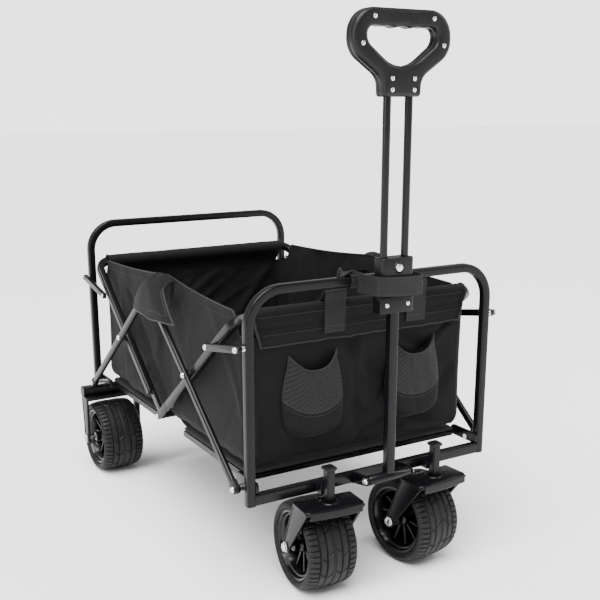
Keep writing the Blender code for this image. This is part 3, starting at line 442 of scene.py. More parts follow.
def facing_front(x, y, z):
    """Axis matrix for a screw whose head looks at -Y."""
    return Matrix.Translation((x, y, z)) @ Matrix.Rotation(math.radians(90), 4, "X")


def dome(radius, height, axis, shank=0.001, dimple=True):
    """A pan-headed screw or rivet standing on its axis' origin."""
    profile = [(0, height)]
    if dimple:
        profile = [(0, height * 0.55), (radius * 0.26, height * 0.62), (radius * 0.36, height)]
    profile += [(radius * math.sin(a), height * (0.15 + 0.85 * math.cos(a)))
                for a in np.linspace(0.5, math.pi / 2, 6)]
    profile += [(radius, 0), (radius * 0.6, 0), (radius * 0.6, -shank), (0, -shank)]
    return turned(profile, 20, axis)


# ---- frames and scissor

SQUARE = rounded_box(TUBE / 2, TUBE / 2, 0.0036)


def upright(end):
    """Arch of square tube, crossbar, hinge plates and studs of one end."""
    y, name = end.plane, end.name + "_frame"
    corners = [(HALF_WIDTH, y, end.foot), (HALF_WIDTH, y, end.top), (-HALF_WIDTH, y, end.top),
               (-HALF_WIDTH, y, end.foot)]
    arch = tube(bend(corners, 0.06, 16), SQUARE, (0, 1, 0))
    piece(name + "_arch", arch, PAINT, name, name)
    if end is FRONT:
        section = rounded_box(0.0075, 0.01, 0.003)
        bar = tube([(-HALF_WIDTH, y, 0.2), (HALF_WIDTH, y, 0.2)], section, (0, 1, 0))
    else:
        section = rounded_box(0.012, 0.01, 0.003)
        bar = tube([(-0.2885, y, 0.195), (0.2885, y, 0.195)], section, (0, 1, 0))
        plug = tube([(0.288, y, 0.195), (0.2908, y, 0.195)],
                    rounded_box(0.0117, 0.0097, 0.003), (0, 1, 0))
        both("rear_beam_plug", plug, PLASTIC, name)
    piece(name + "_crossbar", bar, PAINT, name)
    near, far = sorted((y - end.inward * 0.0075, y + end.inward * 0.064))
    outline = [((near + far) / 2 + a, 0.22015 + b)
               for a, b in rounded_box((far - near) / 2, 0.00985, 0.006)]
    both(end.name + "_hinge_plate", plate([outline], 0.2366, 0.2425, FACE_X), PAINT, name)
    stud = turned([(0, 0.0195), (0.0038, 0.0192), (0.0053, 0.0176), (0.0055, 0.0166),
                   (0.003, 0.0166), (0.003, 0.0085), (0.0058, 0.0085), (0.0058, 0.0),
                   (0, 0.0)], 24, along_x(0.2575, y, LINK_POST_Z))
    both(end.name + "_link_stud", stud, STEEL, name)
    pin = turned([(0, 0.0395), (0.004, 0.0391), (0.0056, 0.0376), (0.0058, 0.0368),
                  (0.003, 0.0368), (0.003, 0.024), (0.0072, 0.024), (0.0072, 0.0065),
                  (0.003, 0.0065), (0.003, 0.0), (0.005, 0.0), (0.005, -0.0022),
                  (0, -0.0024)], 24, along_x(0.2365, end.low, PIVOT_Z))
    both(end.name + "_pivot_bolt", pin, STEEL, name, end.name + "_fold_pin")


for end in ENDS:
    upright(end)


def leaning(y, z, lean):
    """Axes at a pivot on the middle plane, their Z leaning by the struts' angle."""
    return Matrix.Translation((0, y, z)) @ Matrix.Rotation(lean * OPEN_ANGLE, 4, "X")


def knuckle(x_low, x_high, width, reach, towards=1, edge=0.0012):
    """A round-ended plate about a pivot at the origin, reaching along Z."""
    outline = arc((0, 0), width / 2, 180, 360, 14) + [(width / 2, reach), (-width / 2, reach)]
    if towards < 0:
        outline = [(-a, -b) for a, b in outline]
    return plate([outline], x_low, x_high, FACE_X, edge)


def lap(end, x, thick):
    """Where a lapped end lies: outside of x at the front, inside at the rear."""
    return (x + 0.0002, x + thick) if end is FRONT else (x - thick, x - 0.0002)


def scissor(end):
    """Struts, basket arms and side links of one end, with their rivets."""
    axes, body = leaning(end.low, PIVOT_Z, -end.inward), end.name + "_struts"
    section = rounded_box(0.005, 0.0075, 0.004, 5)
    bar = tube([(STRUT_X, 0, 0.0125), (STRUT_X, 0, STRUT_LENGTH - STRUT_LAP)], section)
    tongue = knuckle(*lap(end, STRUT_X, 0.006), 0.015, STRUT_LAP + 0.004, -1)
    tongue.transform(Matrix.Translation((0, 0, STRUT_LENGTH)))
    strut = joined(bar, tongue)
    strut.transform(axes)
    both(end.name + "_scissor_strut", strut, PAINT, body, end.name + "_strut")
    cap = knuckle(STRUT_X - 0.0059, STRUT_X + 0.0059, 0.017, 0.015, 1, 0.0024)
    cap.transform(axes)
    both(end.name + "_strut_end_cap", cap, PLASTIC, body, end.name + "_strut_cap")
    if end is FRONT:
        pin = turned([(0, 0.009), (0.0042, 0.0085), (0.0056, 0.007), (0.003, 0.0063),
                      (0.003, -0.0063), (0.005, -0.0063), (0.005, -0.0083), (0, -0.0083)],
                     24, along_x(STRUT_X, Y_MIDDLE, APEX_Z))
        both("apex_rivet", pin, STEEL, body, "apex_pin")

    axes, body = leaning(Y_MIDDLE, BOTTOM_Z, end.inward), end.name + "_hoop"
    top = ARM_BELOW + ARM_ABOVE
    corners = [(HALF_WIDTH, 0, HOOP_LAP), (HALF_WIDTH, 0, top), (-HALF_WIDTH, 0, top),
               (-HALF_WIDTH, 0, HOOP_LAP)]
    arch = tube(bend(corners, 0.03, 12), SQUARE, (0, 1, 0))
    tongue = knuckle(*lap(end, HALF_WIDTH, 0.0075), 0.015, HOOP_LAP + 0.004)
    arch = joined(arch, tongue, mirrored(tongue))
    arch.transform(axes)
    piece(end.name + "_basket_arms", arch, PAINT, body, end.name + "_basket_hoop")
    bush = turned([(0.003, 0.0035), (0.0085, 0.0035), (0.009, 0.0028), (0.009, 0.0),
                   (0.003, 0.0)], 28, along_x(0.2581, end.crossing, CROSSING_Z))
    both(end.name + "_crossing_bush", bush, PLASTIC, body)
    stud = turned([(0, 0.015), (0.004, 0.0146), (0.0056, 0.0131), (0.0058, 0.0122),
                   (0.0029, 0.0122), (0.0029, 0.0), (0, 0.0)], 24,
                  along_x(0.26, end.crossing, CROSSING_Z))
    both(end.name + "_crossing_rivet", stud, STEEL, body)

    run = Vector((end.link - end.plane, LINK_ARM_Z - LINK_POST_Z))
    heading = math.degrees(math.atan2(run.y, run.x))
    outline = arc((0, 0), 0.0065, heading + 90, heading + 270, 12)
    outline += arc(run, 0.0065, heading - 90, heading + 90, 12)
    outline = [(end.plane + a, LINK_POST_Z + b) for a, b in outline]
    both(end.name + "_side_link", plate([outline], LINK_X - 0.004, LINK_X + 0.004, FACE_X, 0.0014),
         PAINT, end.name + "_links", end.name + "_link")
    rivet = dome(0.0055, 0.0026, along_x(LINK_X + 0.004, end.link, LINK_ARM_Z), dimple=False)
    both(end.name + "_link_rivet", rivet, STEEL, end.name + "_links")


for end in ENDS:
    scissor(end)

bar = tube([(-0.2415, Y_MIDDLE, BOTTOM_Z), (0.2415, Y_MIDDLE, BOTTOM_Z)], circle(0.007),
           (0, 0, 1))
piece("centre_tube", bar, PAINT, "front_hoop", "centre_bar")
both("centre_tube_rivet", dome(0.0055, 0.0026, along_x(0.258, Y_MIDDLE, BOTTOM_Z), dimple=False,
                               shank=0.017), STEEL, "front_hoop")
for end in ENDS:
    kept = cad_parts[end.name + "_floor_frame"].data.materials
    kept.clear()
    kept.append(PAINT)


# ---- wheels and forks

def tyre(phase):
    """Tyre with grooved and notched tread, about Z."""
    wide, radius = WHEEL_HALF_WIDTH, WHEEL_RADIUS
    bead = RIM_RADIUS + 0.0003
    side = [(bead, wide - 0.006), (bead + 0.003, wide - 0.0012), (bead + 0.0045, wide - 0.0002),
            (radius - 0.012, wide), (radius - 0.011, wide - 0.0008), (radius - 0.01, wide),
            (radius - 0.009, wide - 0.0002), (radius - 0.0075, wide - 0.0012),
            (radius - 0.0048, wide - 0.0034), (radius - 0.003, wide - 0.0066)]
    across = [0.0388, 0.037, 0.033, 0.03, 0.029, 0.0278, 0.0266, 0.0256, 0.0225, 0.0195,
              0.017, 0.0158, 0.0146, 0.0136, 0.0126, 0.0095, 0.0065, 0.004, 0.003, 0.0018,
              0.0]
    tread = [(radius - 0.0025 * (max(0.0, x - 0.014) / 0.0245) ** 2, x) for x in across]
    half = side + tread
    profile = doubled(half)
    grooves = {0.0278: 0.0032, 0.029: 0.0016, 0.0266: 0.0016, 0.0146: 0.0032, 0.0158: 0.0016,
               0.0136: 0.0016, 0.0018: 0.0016, 0.0: 0.0022}
    steps = 240
    rows = []
    for i in range(steps):
        angle = 2 * math.pi * i / steps
        row = []
        for r, h in profile:
            off, hand = abs(h), 1 if h >= 0 else -1
            r -= grooves.get(round(off, 4), 0.0)
            k = i + phase + (2 if hand > 0 else 0)
            if 0.03 <= off <= 0.0445 and k % 5 == 0:
                r -= 0.0026
            if 0.017 <= off <= 0.0256 and (k + round((off - 0.017) * 300)) % 15 == 0:
                r -= 0.0028
            if 0.004 <= off <= 0.0126 and (k + 7 - round((off - 0.004) * 300)) % 20 == 0:
                r -= 0.0028
            row.append((r * math.cos(angle), r * math.sin(angle), h))
        rows.append(row)
    return grid(rows, ring=True, loop=True, smooth=30)


def rim():
    """Deep moulded rim with a stepped lip, webbed spokes and a long hub."""
    lip = [(0.048, 0.0), (0.049, 0.016), (0.052, 0.03), (0.0545, 0.0362), (0.057, 0.0372),
           (0.0582, 0.0395), (0.0596, 0.0424), (0.0615, 0.0434), (0.0637, 0.043),
           (RIM_RADIUS, 0.0412)]
    barrel = turned(doubled(lip), 72, smooth=40)
    hub_side = [(0.0054, 0.044), (0.0096, 0.044), (0.0106, 0.043), (0.0112, 0.033),
                (0.015, 0.029), (0.0165, 0.018)]
    hub = turned(doubled(hub_side), 40, smooth=40)
    web = turned([(0.015, 0.003), (0.05, 0.004), (0.05, -0.004), (0.015, -0.003)], 60)
    spokes = []
    for i in range(SPOKES):
        outline = [(0.01, -0.023), (0.05, -0.029), (0.05, 0.029), (0.01, 0.023)]
        spoke = plate([outline], -0.0026, 0.0026, FACE_Y, 0.0008)
        spoke.transform(Matrix.Rotation(2 * math.pi * (i + 0.5) / SPOKES, 4, "Z"))
        spokes.append(spoke)
    return joined(barrel, hub, web, *spokes)


def fork_leg(near, far, top, axle_y, half_width):
    """Tapered fork leg with a raised rim, its plain face at half_width, about the axle."""
    thickness, inset = 0.0053, 0.0014
    outline = [(far, top), (near, top)] + arc((axle_y, WHEEL_RADIUS), 0.012, 180, 360, 16)
    body = plate([outline], half_width - thickness, half_width - 0.0012, FACE_X, 0.001)
    line = [Vector((half_width - inset, a, b)) for a, b in outline]
    middle = sum(line, Vector()) / len(line)
    line = [p + (middle - p).normalized() * inset for p in line]
    rim = grid(sweep(line, circle(0.0013, 8), (1, 0, 0), loop=True), ring=True, loop=True)
    return joined(body, rim)


def axle_end(axis, half_width):
    """Bolt through a fork: a domed hexagon head, a washer and a nut."""
    washer = turned([(0.0052, 0.0003), (0.009, 0.0003), (0.0092, 0.0012), (0.0052, 0.0013)], 28)
    nut = plate([circle(0.008, 6)], 0.0012, 0.0052, FLAT, 0.0009)
    crown = turned([(0, 0.0062), (0.003, 0.006), (0.005, 0.005), (0.005, 0.003), (0, 0.003)], 24)
    head = joined(washer, nut, crown)
    head.transform(Matrix.Translation((0, 0, half_width)))
    tail = head.copy()
    tail.transform(Matrix.Rotation(math.pi, 4, "X"))
    shaft = turned([(0, half_width), (0.0049, half_width), (0.0049, -half_width),
                    (0, -half_width)], 20)
    whole = joined(tail, head, shaft)
    whole.transform(axis)
    return whole


RIM_MESH = rim()
TYRES = [tyre(phase) for phase in (0, 3)]


def wheel(name, axis, kind):
    """Tyre and rim about an axis."""
    for mesh, finish, what in ((TYRES[kind], RUBBER, "tyre"), (RIM_MESH, GLOSS, "rim")):
        shape = mesh.copy()
        shape.transform(axis)
        piece(f"{name}_moulded_{what}", shape, finish, name, f"{name}_{what}")


def caster(side, sign):
    """Swivelling fork, its axle bolt and its wheel."""
    turn = Matrix.Translation((sign * STEM_X, STEM_Y, 0)) @ Matrix.Rotation(sign * TOE, 4, "Z")
    body = "caster_" + side
    top = filleted([(-0.0575, -0.03), (0.0575, -0.03), (0.0575, 0.028), (-0.0575, 0.028)],
                   [0.012, 0.012, 0.004, 0.004])
    crown = plate([top], 0.1722, 0.18, FLAT, 0.0024)
    lip = [(x, -0.029 - 0.0016 * math.cos(x * 27), z) for x, z in
           ((-0.05, 0.1726), (-0.025, 0.1716), (0.0, 0.1712), (0.025, 0.1716), (0.05, 0.1726))]
    skirt = tube(lip, rounded_box(0.0018, 0.0076, 0.0016), (0, -1, 0))
    boss = turned([(0.004, 0.1822), (0.015, 0.1822), (0.0165, 0.181), (0.0165, 0.179),
                   (0.004, 0.179)], 36)
    leg = fork_leg(-0.0275, 0.0255, 0.1765, TRAIL, 0.0573)
    shaft = turned([(0, 0.2378), (0.0049, 0.2378), (0.0049, 0.174), (0, 0.174)], 20)
    fork = joined(crown, skirt, boss, shaft, leg, mirrored(leg))
    fork.transform(turn)
    piece(body + "_moulded_fork", fork, PAINT, body, "caster_fork_" + side)
    spin = turn @ along_x(0, TRAIL, WHEEL_RADIUS)
    piece(body + "_axle_bolt", axle_end(spin, 0.0575), STEEL, body, "caster_axle_" + side)
    wheel("front_wheel_" + side, spin, 0)


def rear_wheel(side, sign):
    """Fixed fork, its axle bolt and its wheel."""
    where = Matrix.Translation((sign * 0.225, Y_REAR - 0.013, 0))
    top = rounded_box(0.0655, 0.0208, 0.004)
    crown = plate([[(a, b + 0.004) for a, b in top]], 0.1762, 0.1846, FLAT, 0.0018)
    leg = fork_leg(-0.016, 0.021, 0.18, 0, 0.0657)
    fork = joined(crown, leg, mirrored(leg))
    fork.transform(where)
    piece("rear_fork_bracket_" + side, fork, PAINT, "rear_frame", "rear_fork_" + side)
    spin = where @ along_x(0, 0, WHEEL_RADIUS)
    piece("rear_axle_bolt_" + side, axle_end(spin, 0.066), STEEL, "rear_frame",
          "rear_axle_" + side)
    wheel("rear_wheel_" + side, spin, 1)


for side, sign in SIDES:
    caster(side, sign)
    rear_wheel(side, sign)

shell = joined(block((-0.008, -0.008, 0.1825), (0.008, 0.008, 0.24), 0.0018),
               block((-0.012, 0.006, 0.1925), (0.012, 0.0265, 0.2088), 0.0015))
shell.transform(Matrix.Translation((STEM_X, STEM_Y, 0)))
both("caster_stem_housing", shell, PAINT, "front_frame", "caster_housing")
lid = block((-0.0108, -0.0108, 0.2392), (0.0108, 0.0108, 0.2458), 0.002)
lid.transform(Matrix.Translation((STEM_X, STEM_Y, 0)))
both("caster_housing_plug", lid, PLASTIC, "front_frame")


# ---- pull handle

GRIP_FOOT, GRIP_MIDDLE = 0.8552, 0.934


def grip_rings(count=144):
    """Rows round the hand hole; each row is one cut through the grip's thickness."""
    right = [(0.036, GRIP_FOOT), (0.0375, 0.883), (0.096, 0.923), (0.0935, 0.9878)]
    outer = filleted(both_sides(right),
                     [0.003, 0.03, 0.038, 0.04] + [0.04, 0.038, 0.03, 0.003], 16)
    right = [(0.0685, 0.938), (0.066, 0.9608)]
    hole = filleted([(0.0, 0.8875)] + both_sides(right),
                    [0.06, 0.02, 0.013, 0.013, 0.02], 12)
    centre = np.array((0.0, GRIP_MIDDLE))

    def hit(outline, angle):
        way, best = np.array((math.cos(angle), math.sin(angle))), None
        for a, b in zip(outline, outline[1:] + outline[:1]):
            a, edge = np.array(a) - centre, np.array(b) - np.array(a)
            across = way[0] * edge[1] - way[1] * edge[0]
            if abs(across) < 1e-12:
                continue
            reach = (a[0] * edge[1] - a[1] * edge[0]) / across
            share = (a[0] * way[1] - a[1] * way[0]) / across
            if reach > 0 and -1e-6 <= share <= 1 + 1e-6:
                best = reach if best is None else max(best, reach)
        return centre + way * best

    neck = math.atan2(GRIP_FOOT - GRIP_MIDDLE, 0.034)
    spread = list(np.linspace(0, 2 * math.pi, count, endpoint=False))
    spread += [neck, math.pi - neck, neck - 0.02, math.pi - neck + 0.02]
    angles = sorted(a % (2 * math.pi) for a in spread)
    depth, soft = GRIP_DEPTH, 0.008
    rows = []
    for angle in angles:
        far, near = hit(outer, angle), hit(hole, angle)
        if near[1] > 0.952 and abs(near[0]) < 0.046:
            fade = min(1.0, (0.046 - abs(near[0])) / 0.012)
            near = near + (0, -0.0026 * fade * (1 - abs(math.cos(math.pi * near[0] / 0.03))))
        span = np.linalg.norm(near - far)
        inward = (near - far) / span
        curve = [(0.0006, 0.0), (0.0, 0.0007), (0.0, depth - soft)]
        curve += [(soft * (1 - math.cos(a)), depth - soft + soft * math.sin(a))
                  for a in np.linspace(0.25, math.pi / 2, 6)]
        ends = [(span - a, b) for a, b in reversed(curve)]
        cut = [(far + inward * a, Y_HANDLE - b) for a, b in doubled(curve + ends)]
        rows.append([(point[0], y, point[1]) for point, y in cut])
    return grid(rows, ring=True, loop=True, smooth=50)


piece("grip_moulding", grip_rings(), PLASTIC, "handle_top", "grip")
dots = [dome(0.0012, 0.0009, facing_front(x, Y_HANDLE - GRIP_DEPTH, z), dimple=False)
        for z in np.arange(0.968, 0.981, 0.004) for x in np.arange(-0.027, 0.0271, 0.0045)]
piece("grip_dots", joined(*dots), PLASTIC, "handle_top")
screws = [dome(0.0036, 0.0014, facing_front(x, Y_HANDLE - GRIP_DEPTH, z)) for x, z in
          ((ROD_X, 0.8657), (ROD_X, 0.8828), (0.0785, 0.934), (0.057, 0.974))]
both("grip_screws", joined(*screws), STEEL, "handle_top")

rods = [tube([(s * ROD_X, Y_HANDLE, 0.509), (s * ROD_X, Y_HANDLE, 0.859)], circle(0.0065, 28),
             (1, 0, 0)) for s in (-1, 1)]
piece("twin_rods", joined(*rods), GLOSS, "handle_top", "handle_rods", slot="black_paint")
outline = rounded_box(0.034, 0.0135, 0.005)
window = rounded_box(0.0088, 0.0088, 0.002)
slider = plate([outline, window], 0.506, 0.535, Matrix.Translation((0, Y_HANDLE, 0)), 0.0014)
piece("slider_block", slider, PAINT, "handle_top")
both("slider_rivet", dome(0.0038, 0.0016, facing_front(ROD_X, Y_HANDLE - 0.0135, 0.5205)), STEEL,
     "handle_top")

outline = rounded_box(0.0325, 0.015, 0.008)
bore = [(a + ROD_X, b) for a, b in circle(0.0069)]
collar = plate([outline, bore, [(-a, b) for a, b in bore]], 0.566, 0.599,
               Matrix.Translation((0, Y_HANDLE, 0)), 0.0016)
piece("collar_moulding", collar, PLASTIC, "handle", "handle_collar")
button = turned([(0, 0.0027), (0.0045, 0.0027), (0.0062, 0.0022), (0.007, 0.0008),
                 (0.007, -0.004), (0, -0.004)], 32,
                facing_front(0, Y_HANDLE - 0.015, BUTTON_Z))
piece("oval_button", button, STEEL, "button", "release_button")
bezel = turned([(0.0078, 0.0), (0.008, 0.0012), (0.0092, 0.0014), (0.01, 0.0)], 32,
               facing_front(0, Y_HANDLE - 0.0148, BUTTON_Z))
piece("button_bezel", bezel, GLOSS, "handle")

post = tube([(0, Y_HANDLE, 0.2165), (0, Y_HANDLE, 0.5656)], rounded_box(0.0085, 0.0085, 0.0032))
sleeve = turned([(0.0044, 0.044), (0.0086, 0.044), (0.009, 0.0434), (0.009, -0.0434),
                 (0.0086, -0.044), (0.0044, -0.044)], 36, along_x(0, Y_HANDLE, HANDLE_PIVOT_Z))
piece("handle_post", joined(post, sleeve), PAINT, "handle", "handle_tube")
face = Y_FRONT - 0.0083
back = block((-0.0495, face - 0.003, 0.191), (0.0495, face, 0.216), 0.001)
ear = arc((Y_HANDLE, HANDLE_PIVOT_Z), 0.009, 90, 270, 14)
ear += [(face - 0.001, 0.192), (face - 0.001, 0.215)]
ear = plate([ear], 0.0465, 0.0494, FACE_X, 0.0007)
piece("pivot_bracket", joined(back, ear, mirrored(ear)), PAINT, "front_frame", "handle_bracket")
bolt = [(0, 0.0537), (0.004, 0.0535), (0.0062, 0.0518), (0.0065, 0.0498), (0.004, 0.0498)]
piece("handle_hinge_bolt", turned(doubled(bolt), 24, along_x(0, Y_HANDLE, HANDLE_PIVOT_Z)),
      STEEL, "front_frame", "handle_pivot_bolt")


# ---- cloth helpers

CORNER_X, CORNER_R = 0.2138, 0.022
WALL_SAG, WALL_CURL = 0.0015, 0.0078
WALL_X, WALL_FOOT, PANEL_TOP = 0.2358, 0.244, 0.466
FLAP_Y, PAD_Z = -0.031, 0.2271
CLOTH = 0.0014                   # thickness of the basket's cloth
FORWARD = (0, -1, 0)


def cloth(rows, thickness=CLOTH, offset=0.0):
    """A soft sheet of this thickness over rows of points."""
    carrier = linked("sheet", grid(rows, smooth=70))
    solid = carrier.modifiers.new("thickness", "SOLIDIFY")
    solid.thickness, solid.offset = thickness, offset
    return shaded(baked(carrier), 60)


def creases(seed, count, slant, width, depth):
    """Soft folds over a unit square: a function of across and up."""
    random = np.random.default_rng(seed)
    table = [(random.uniform(-0.05, 1.05), random.uniform(-slant, slant),
              random.uniform(*width), random.uniform(-depth, depth),
              random.uniform(0.0, 1.0), random.uniform(0.35, 0.9)) for _ in range(count)]

    def height(across, up):
        total = 0.0
        for place, slope, wide, deep, middle, reach in table:
            away = (across - place - slope * (up - 0.5)) / wide
            fade = math.exp(-((up - middle) / reach) ** 2)
            total += deep * math.exp(-away * away) * fade
        return total
    return height


def soft_limit(value, inward, outward):
    """The value, eased so that it never passes its limit on either side."""
    most = outward if value > 0 else inward
    return most * math.tanh(value / most)


def smooth_line(points, count):
    """Evenly spaced points on a Catmull-Rom line through the given ones."""
    p = np.array(points, float)
    p = np.vstack([2 * p[0] - p[1], p, 2 * p[-1] - p[-2]])
    out = []
    for t in np.linspace(0, len(points) - 1, count):
        i = min(int(t), len(points) - 2)
        f = t - i
        a, b, c, d = p[i], p[i + 1], p[i + 2], p[i + 3]
        out.append(0.5 * (2 * b + (c - a) * f + (2 * a - 5 * b + 4 * c - d) * f * f
                          + (3 * b - a - 3 * c + d) * f ** 3))
    return np.array(out)


def bead(path, radius=0.0018, normal=(1, 0, 0)):
    """A piped edge along a path."""
    return grid(sweep(path, circle(radius, 10), normal), ring=True, caps=True)


def stitches(path, normal, pitch=0.0046, long=0.0028, wide=0.00045, proud=0.0003):
    """A row of short thread stitches along a path, lying on the cloth."""
    path = np.array([tuple(p) for p in path], float)
    lengths = np.concatenate([[0], np.cumsum(np.linalg.norm(np.diff(path, axis=0), axis=1))])
    normal, shape = unit(np.array(normal, float)), bmesh.new()
    for start in np.arange(pitch / 2, lengths[-1] - long, pitch):
        ends = [np.array([np.interp(at, lengths, path[:, k]) for k in range(3)])
                for at in (start, start + long)]
        heading = unit(ends[1] - ends[0])
        side = unit(np.cross(normal, heading)) * wide
        lift = normal * proud
        ring = []
        for end, rise in ((ends[0], 0.3), ((ends[0] + ends[1]) / 2, 1.0), (ends[1], 0.3)):
            corners = [end + side - lift, end + side * 0.6 + lift * rise,
                       end - side * 0.6 + lift * rise, end - side - lift]
            ring.append([shape.verts.new(tuple(corner)) for corner in corners])
        for a, b in zip(ring, ring[1:]):
            for i in range(4):
                shape.faces.new((a[i], a[(i + 1) % 4], b[(i + 1) % 4], b[i]))
        shape.faces.new(ring[0])
        shape.faces.new(ring[-1][::-1])
    bmesh.ops.recalc_face_normals(shape, faces=shape.faces)
    return poured(shape)


def crumple(*pieces):
    """Give each piece a mesh of its own."""
    for made in pieces:
        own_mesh(made)


def curl_in(z, low, t):
    """How far a wall lies inward at height z: its sag and the curl of its lower edge."""
    curl = WALL_CURL * max(0.0, 1 - (z - low) / 0.02) ** 2
    return WALL_SAG * math.sin(math.pi * min(1.0, t * 1.05)) + curl


# ---- basket walls

def wall_top(y):
    """Height of the side wall's top edge, falling from the flap to the hoops' corners."""
    away = abs(y - FLAP_Y) / (0.269 if y < FLAP_Y else 0.331)
    top = 0.529 - 0.019 * min(1.0, away) - 0.004 * math.sin(math.pi * min(1.0, away))
    end = min(y - (FRONT.hem + 0.018), (REAR.hem - 0.018) - y)
    return top - 0.04 * max(0.0, 1 - max(end, 0.0) / 0.022) ** 1.5


def side_wall(seed):
    """Rows of the right-hand wall, its ends and its bottom curling inward."""
    folds = creases(seed, 15, 0.5, (0.018, 0.06), 0.0085)
    fine = creases(seed + 1, 18, 0.6, (0.008, 0.02), 0.001)
    front, rear = FRONT.hem + 0.016, REAR.hem - 0.016
    plan = [(CORNER_X + CORNER_R * math.sin(a), front - CORNER_R * math.cos(a))
            for a in np.linspace(0, math.pi / 2, 9)]
    plan += [(WALL_X, y) for y in np.linspace(front, rear, 150)[1:-1]]
    plan += [(CORNER_X + CORNER_R * math.cos(a), rear + CORNER_R * math.sin(a))
             for a in np.linspace(0, math.pi / 2, 9)]
    rows = []
    for x, y in plan:
        share = (y - front) / (rear - front)
        top = wall_top(y)
        sag = 0.004 * math.sin(share * 23) + 0.003 * math.sin(share * 51 + 1)
        low = WALL_FOOT + sag * 0.5
        row = []
        for t in np.linspace(0, 1, 52):
            z = low + (top - low) * t
            calm = min(1.0, (1 - t) / 0.06) * min(1.0, t / 0.05 + 0.4)
            push = (folds(share, t) + fine(share, t)) * calm
            move = soft_limit(push, 0.0042, 0.0032) - curl_in(z, low, t)
            away = (1.0, 0.0)
            if x < WALL_X - 0.0001:          # on one of the rounded corners
                away = unit(np.array((x - CORNER_X, y - min(max(y, front), rear))))
            row.append((x + away[0] * move, y + away[1] * move, z))
        rows.append(row)
    return rows


def side_cloth(side, sign, seed):
    """Wall, piping and stitching of one side of the basket."""
    rows = np.array(side_wall(seed))
    rows[:, :, 0] *= sign
    wall = piece("basket_side_cloth_" + side, cloth(rows), FABRIC, "basket_front",
                 "basket_side_" + side)
    trim = piece("basket_side_piping_" + side, bead(rows[6:-6, -1] + (0, 0, 0.0006), 0.0014),
                 PIPING, "basket_front")
    seam = rows[8:-8, -4] + (sign * 0.0009, 0, 0)
    run = piece("basket_side_stitching_" + side, stitches(seam, (sign, 0, 0)), THREAD,
                "basket_front")
    crumple(wall, trim, run)


def apex_flap(side, sign, seed):
    """Cap of cloth that hangs over the scissor's apex, wider at its lower edge."""
    ripple = creases(seed, 6, 0.25, (0.06, 0.16), 0.0026)
    crown = 0.5325
    section = smooth_line([(0.2335, 0.494), (0.2345, 0.517), (0.2395, crown - 0.003),
                           (0.251, crown), (0.265, crown - 0.004), (0.276, crown - 0.012),
                           (0.2815, crown - 0.027), (0.2835, 0.482), (0.2815, 0.458)], 40)
    rows = []
    for f in np.linspace(-1, 1, 46):
        row = []
        for j, (x, z) in enumerate(section):
            down = max(0.0, min(1.0, (crown - z) / 0.08))
            outside = x > 0.262
            half = 0.034 + (0.07 * down if outside else 0.034 * down)
            edge = abs(f) ** 3
            drop = 0.01 * edge * (1 - down) + (0.006 * (1 - edge) * down if outside else 0.0)
            bulge = ripple((f + 1) / 2, j / 39) if outside else 0.0
            pull = 0.01 * edge * max(0.0, (x - 0.236) / 0.047)
            row.append((sign * (x - pull + bulge), FLAP_Y + f * half,
                        z - drop + 0.0015 * math.sin(f * 7 + j * 0.3)))
        rows.append(row)
    rows = np.array(rows)
    flap = piece("apex_flap_" + side, cloth(rows, 0.0018), FABRIC, "basket_front")
    outer = slice(14, 40)
    border = [*rows[0, outer], *rows[1:-1, -1], *rows[-1, outer][::-1]]
    trim = piece("apex_flap_piping_" + side, bead(border, 0.002), PIPING, "basket_front")
    inset = [*rows[2, 16:37], *rows[3:-3, -4], *rows[-3, 16:37][::-1]]
    seam = np.array(inset) + (sign * 0.0011, 0, 0)
    run = piece("apex_flap_stitching_" + side, stitches(seam, (sign, 0, 0)), THREAD,
                "basket_front")
    crumple(flap, trim, run)


def end_panel(end, seed):
    """Rows of an end panel, curling in to the floor at its lower edge."""
    folds = creases(seed, 18, 1.2, (0.02, 0.06), 0.011)
    fine = creases(seed + 1, 22, 1.3, (0.012, 0.03), 0.001)
    rows = []
    wide = CORNER_X + 0.003
    for x in np.linspace(-wide, wide, 120):
        across = (x + wide) / (2 * wide)
        calm = min(1.0, max(0.0, min(across, 1 - across) - 0.012) / 0.05)
        low = WALL_FOOT + 0.002 * math.sin(across * 11)
        row = []
        for t in np.linspace(0, 1, 46):
            z = low + (PANEL_TOP - low) * t
            push = folds(across, t) + fine(across, t)
            push *= calm * min(1.0, (1 - t) / 0.08, 0.25 + t / 0.25)
            out = 0.006 + soft_limit(push, 0.008, 0.0014) - curl_in(z, low, t)
            row.append((x, end.hem - end.inward * out, z))
        rows.append(row)
    return rows


HEM_SECTION = [(0.0052, -0.052), (0.0045, -0.034), (-0.001, -0.02), (-0.0105, -0.0085),
               (-0.0128, 0.001), (-0.0095, 0.0098), (0.0, 0.0136), (0.0098, 0.0105),
               (0.014, 0.0015), (0.0134, -0.011), (0.0112, -0.018), (0.0122, -0.025),
               (0.0128, -0.04), (0.0118, -0.0522)]


def hem_point(end, x, out, up):
    return (x, end.hem - end.inward * out, HEM_Z + up)


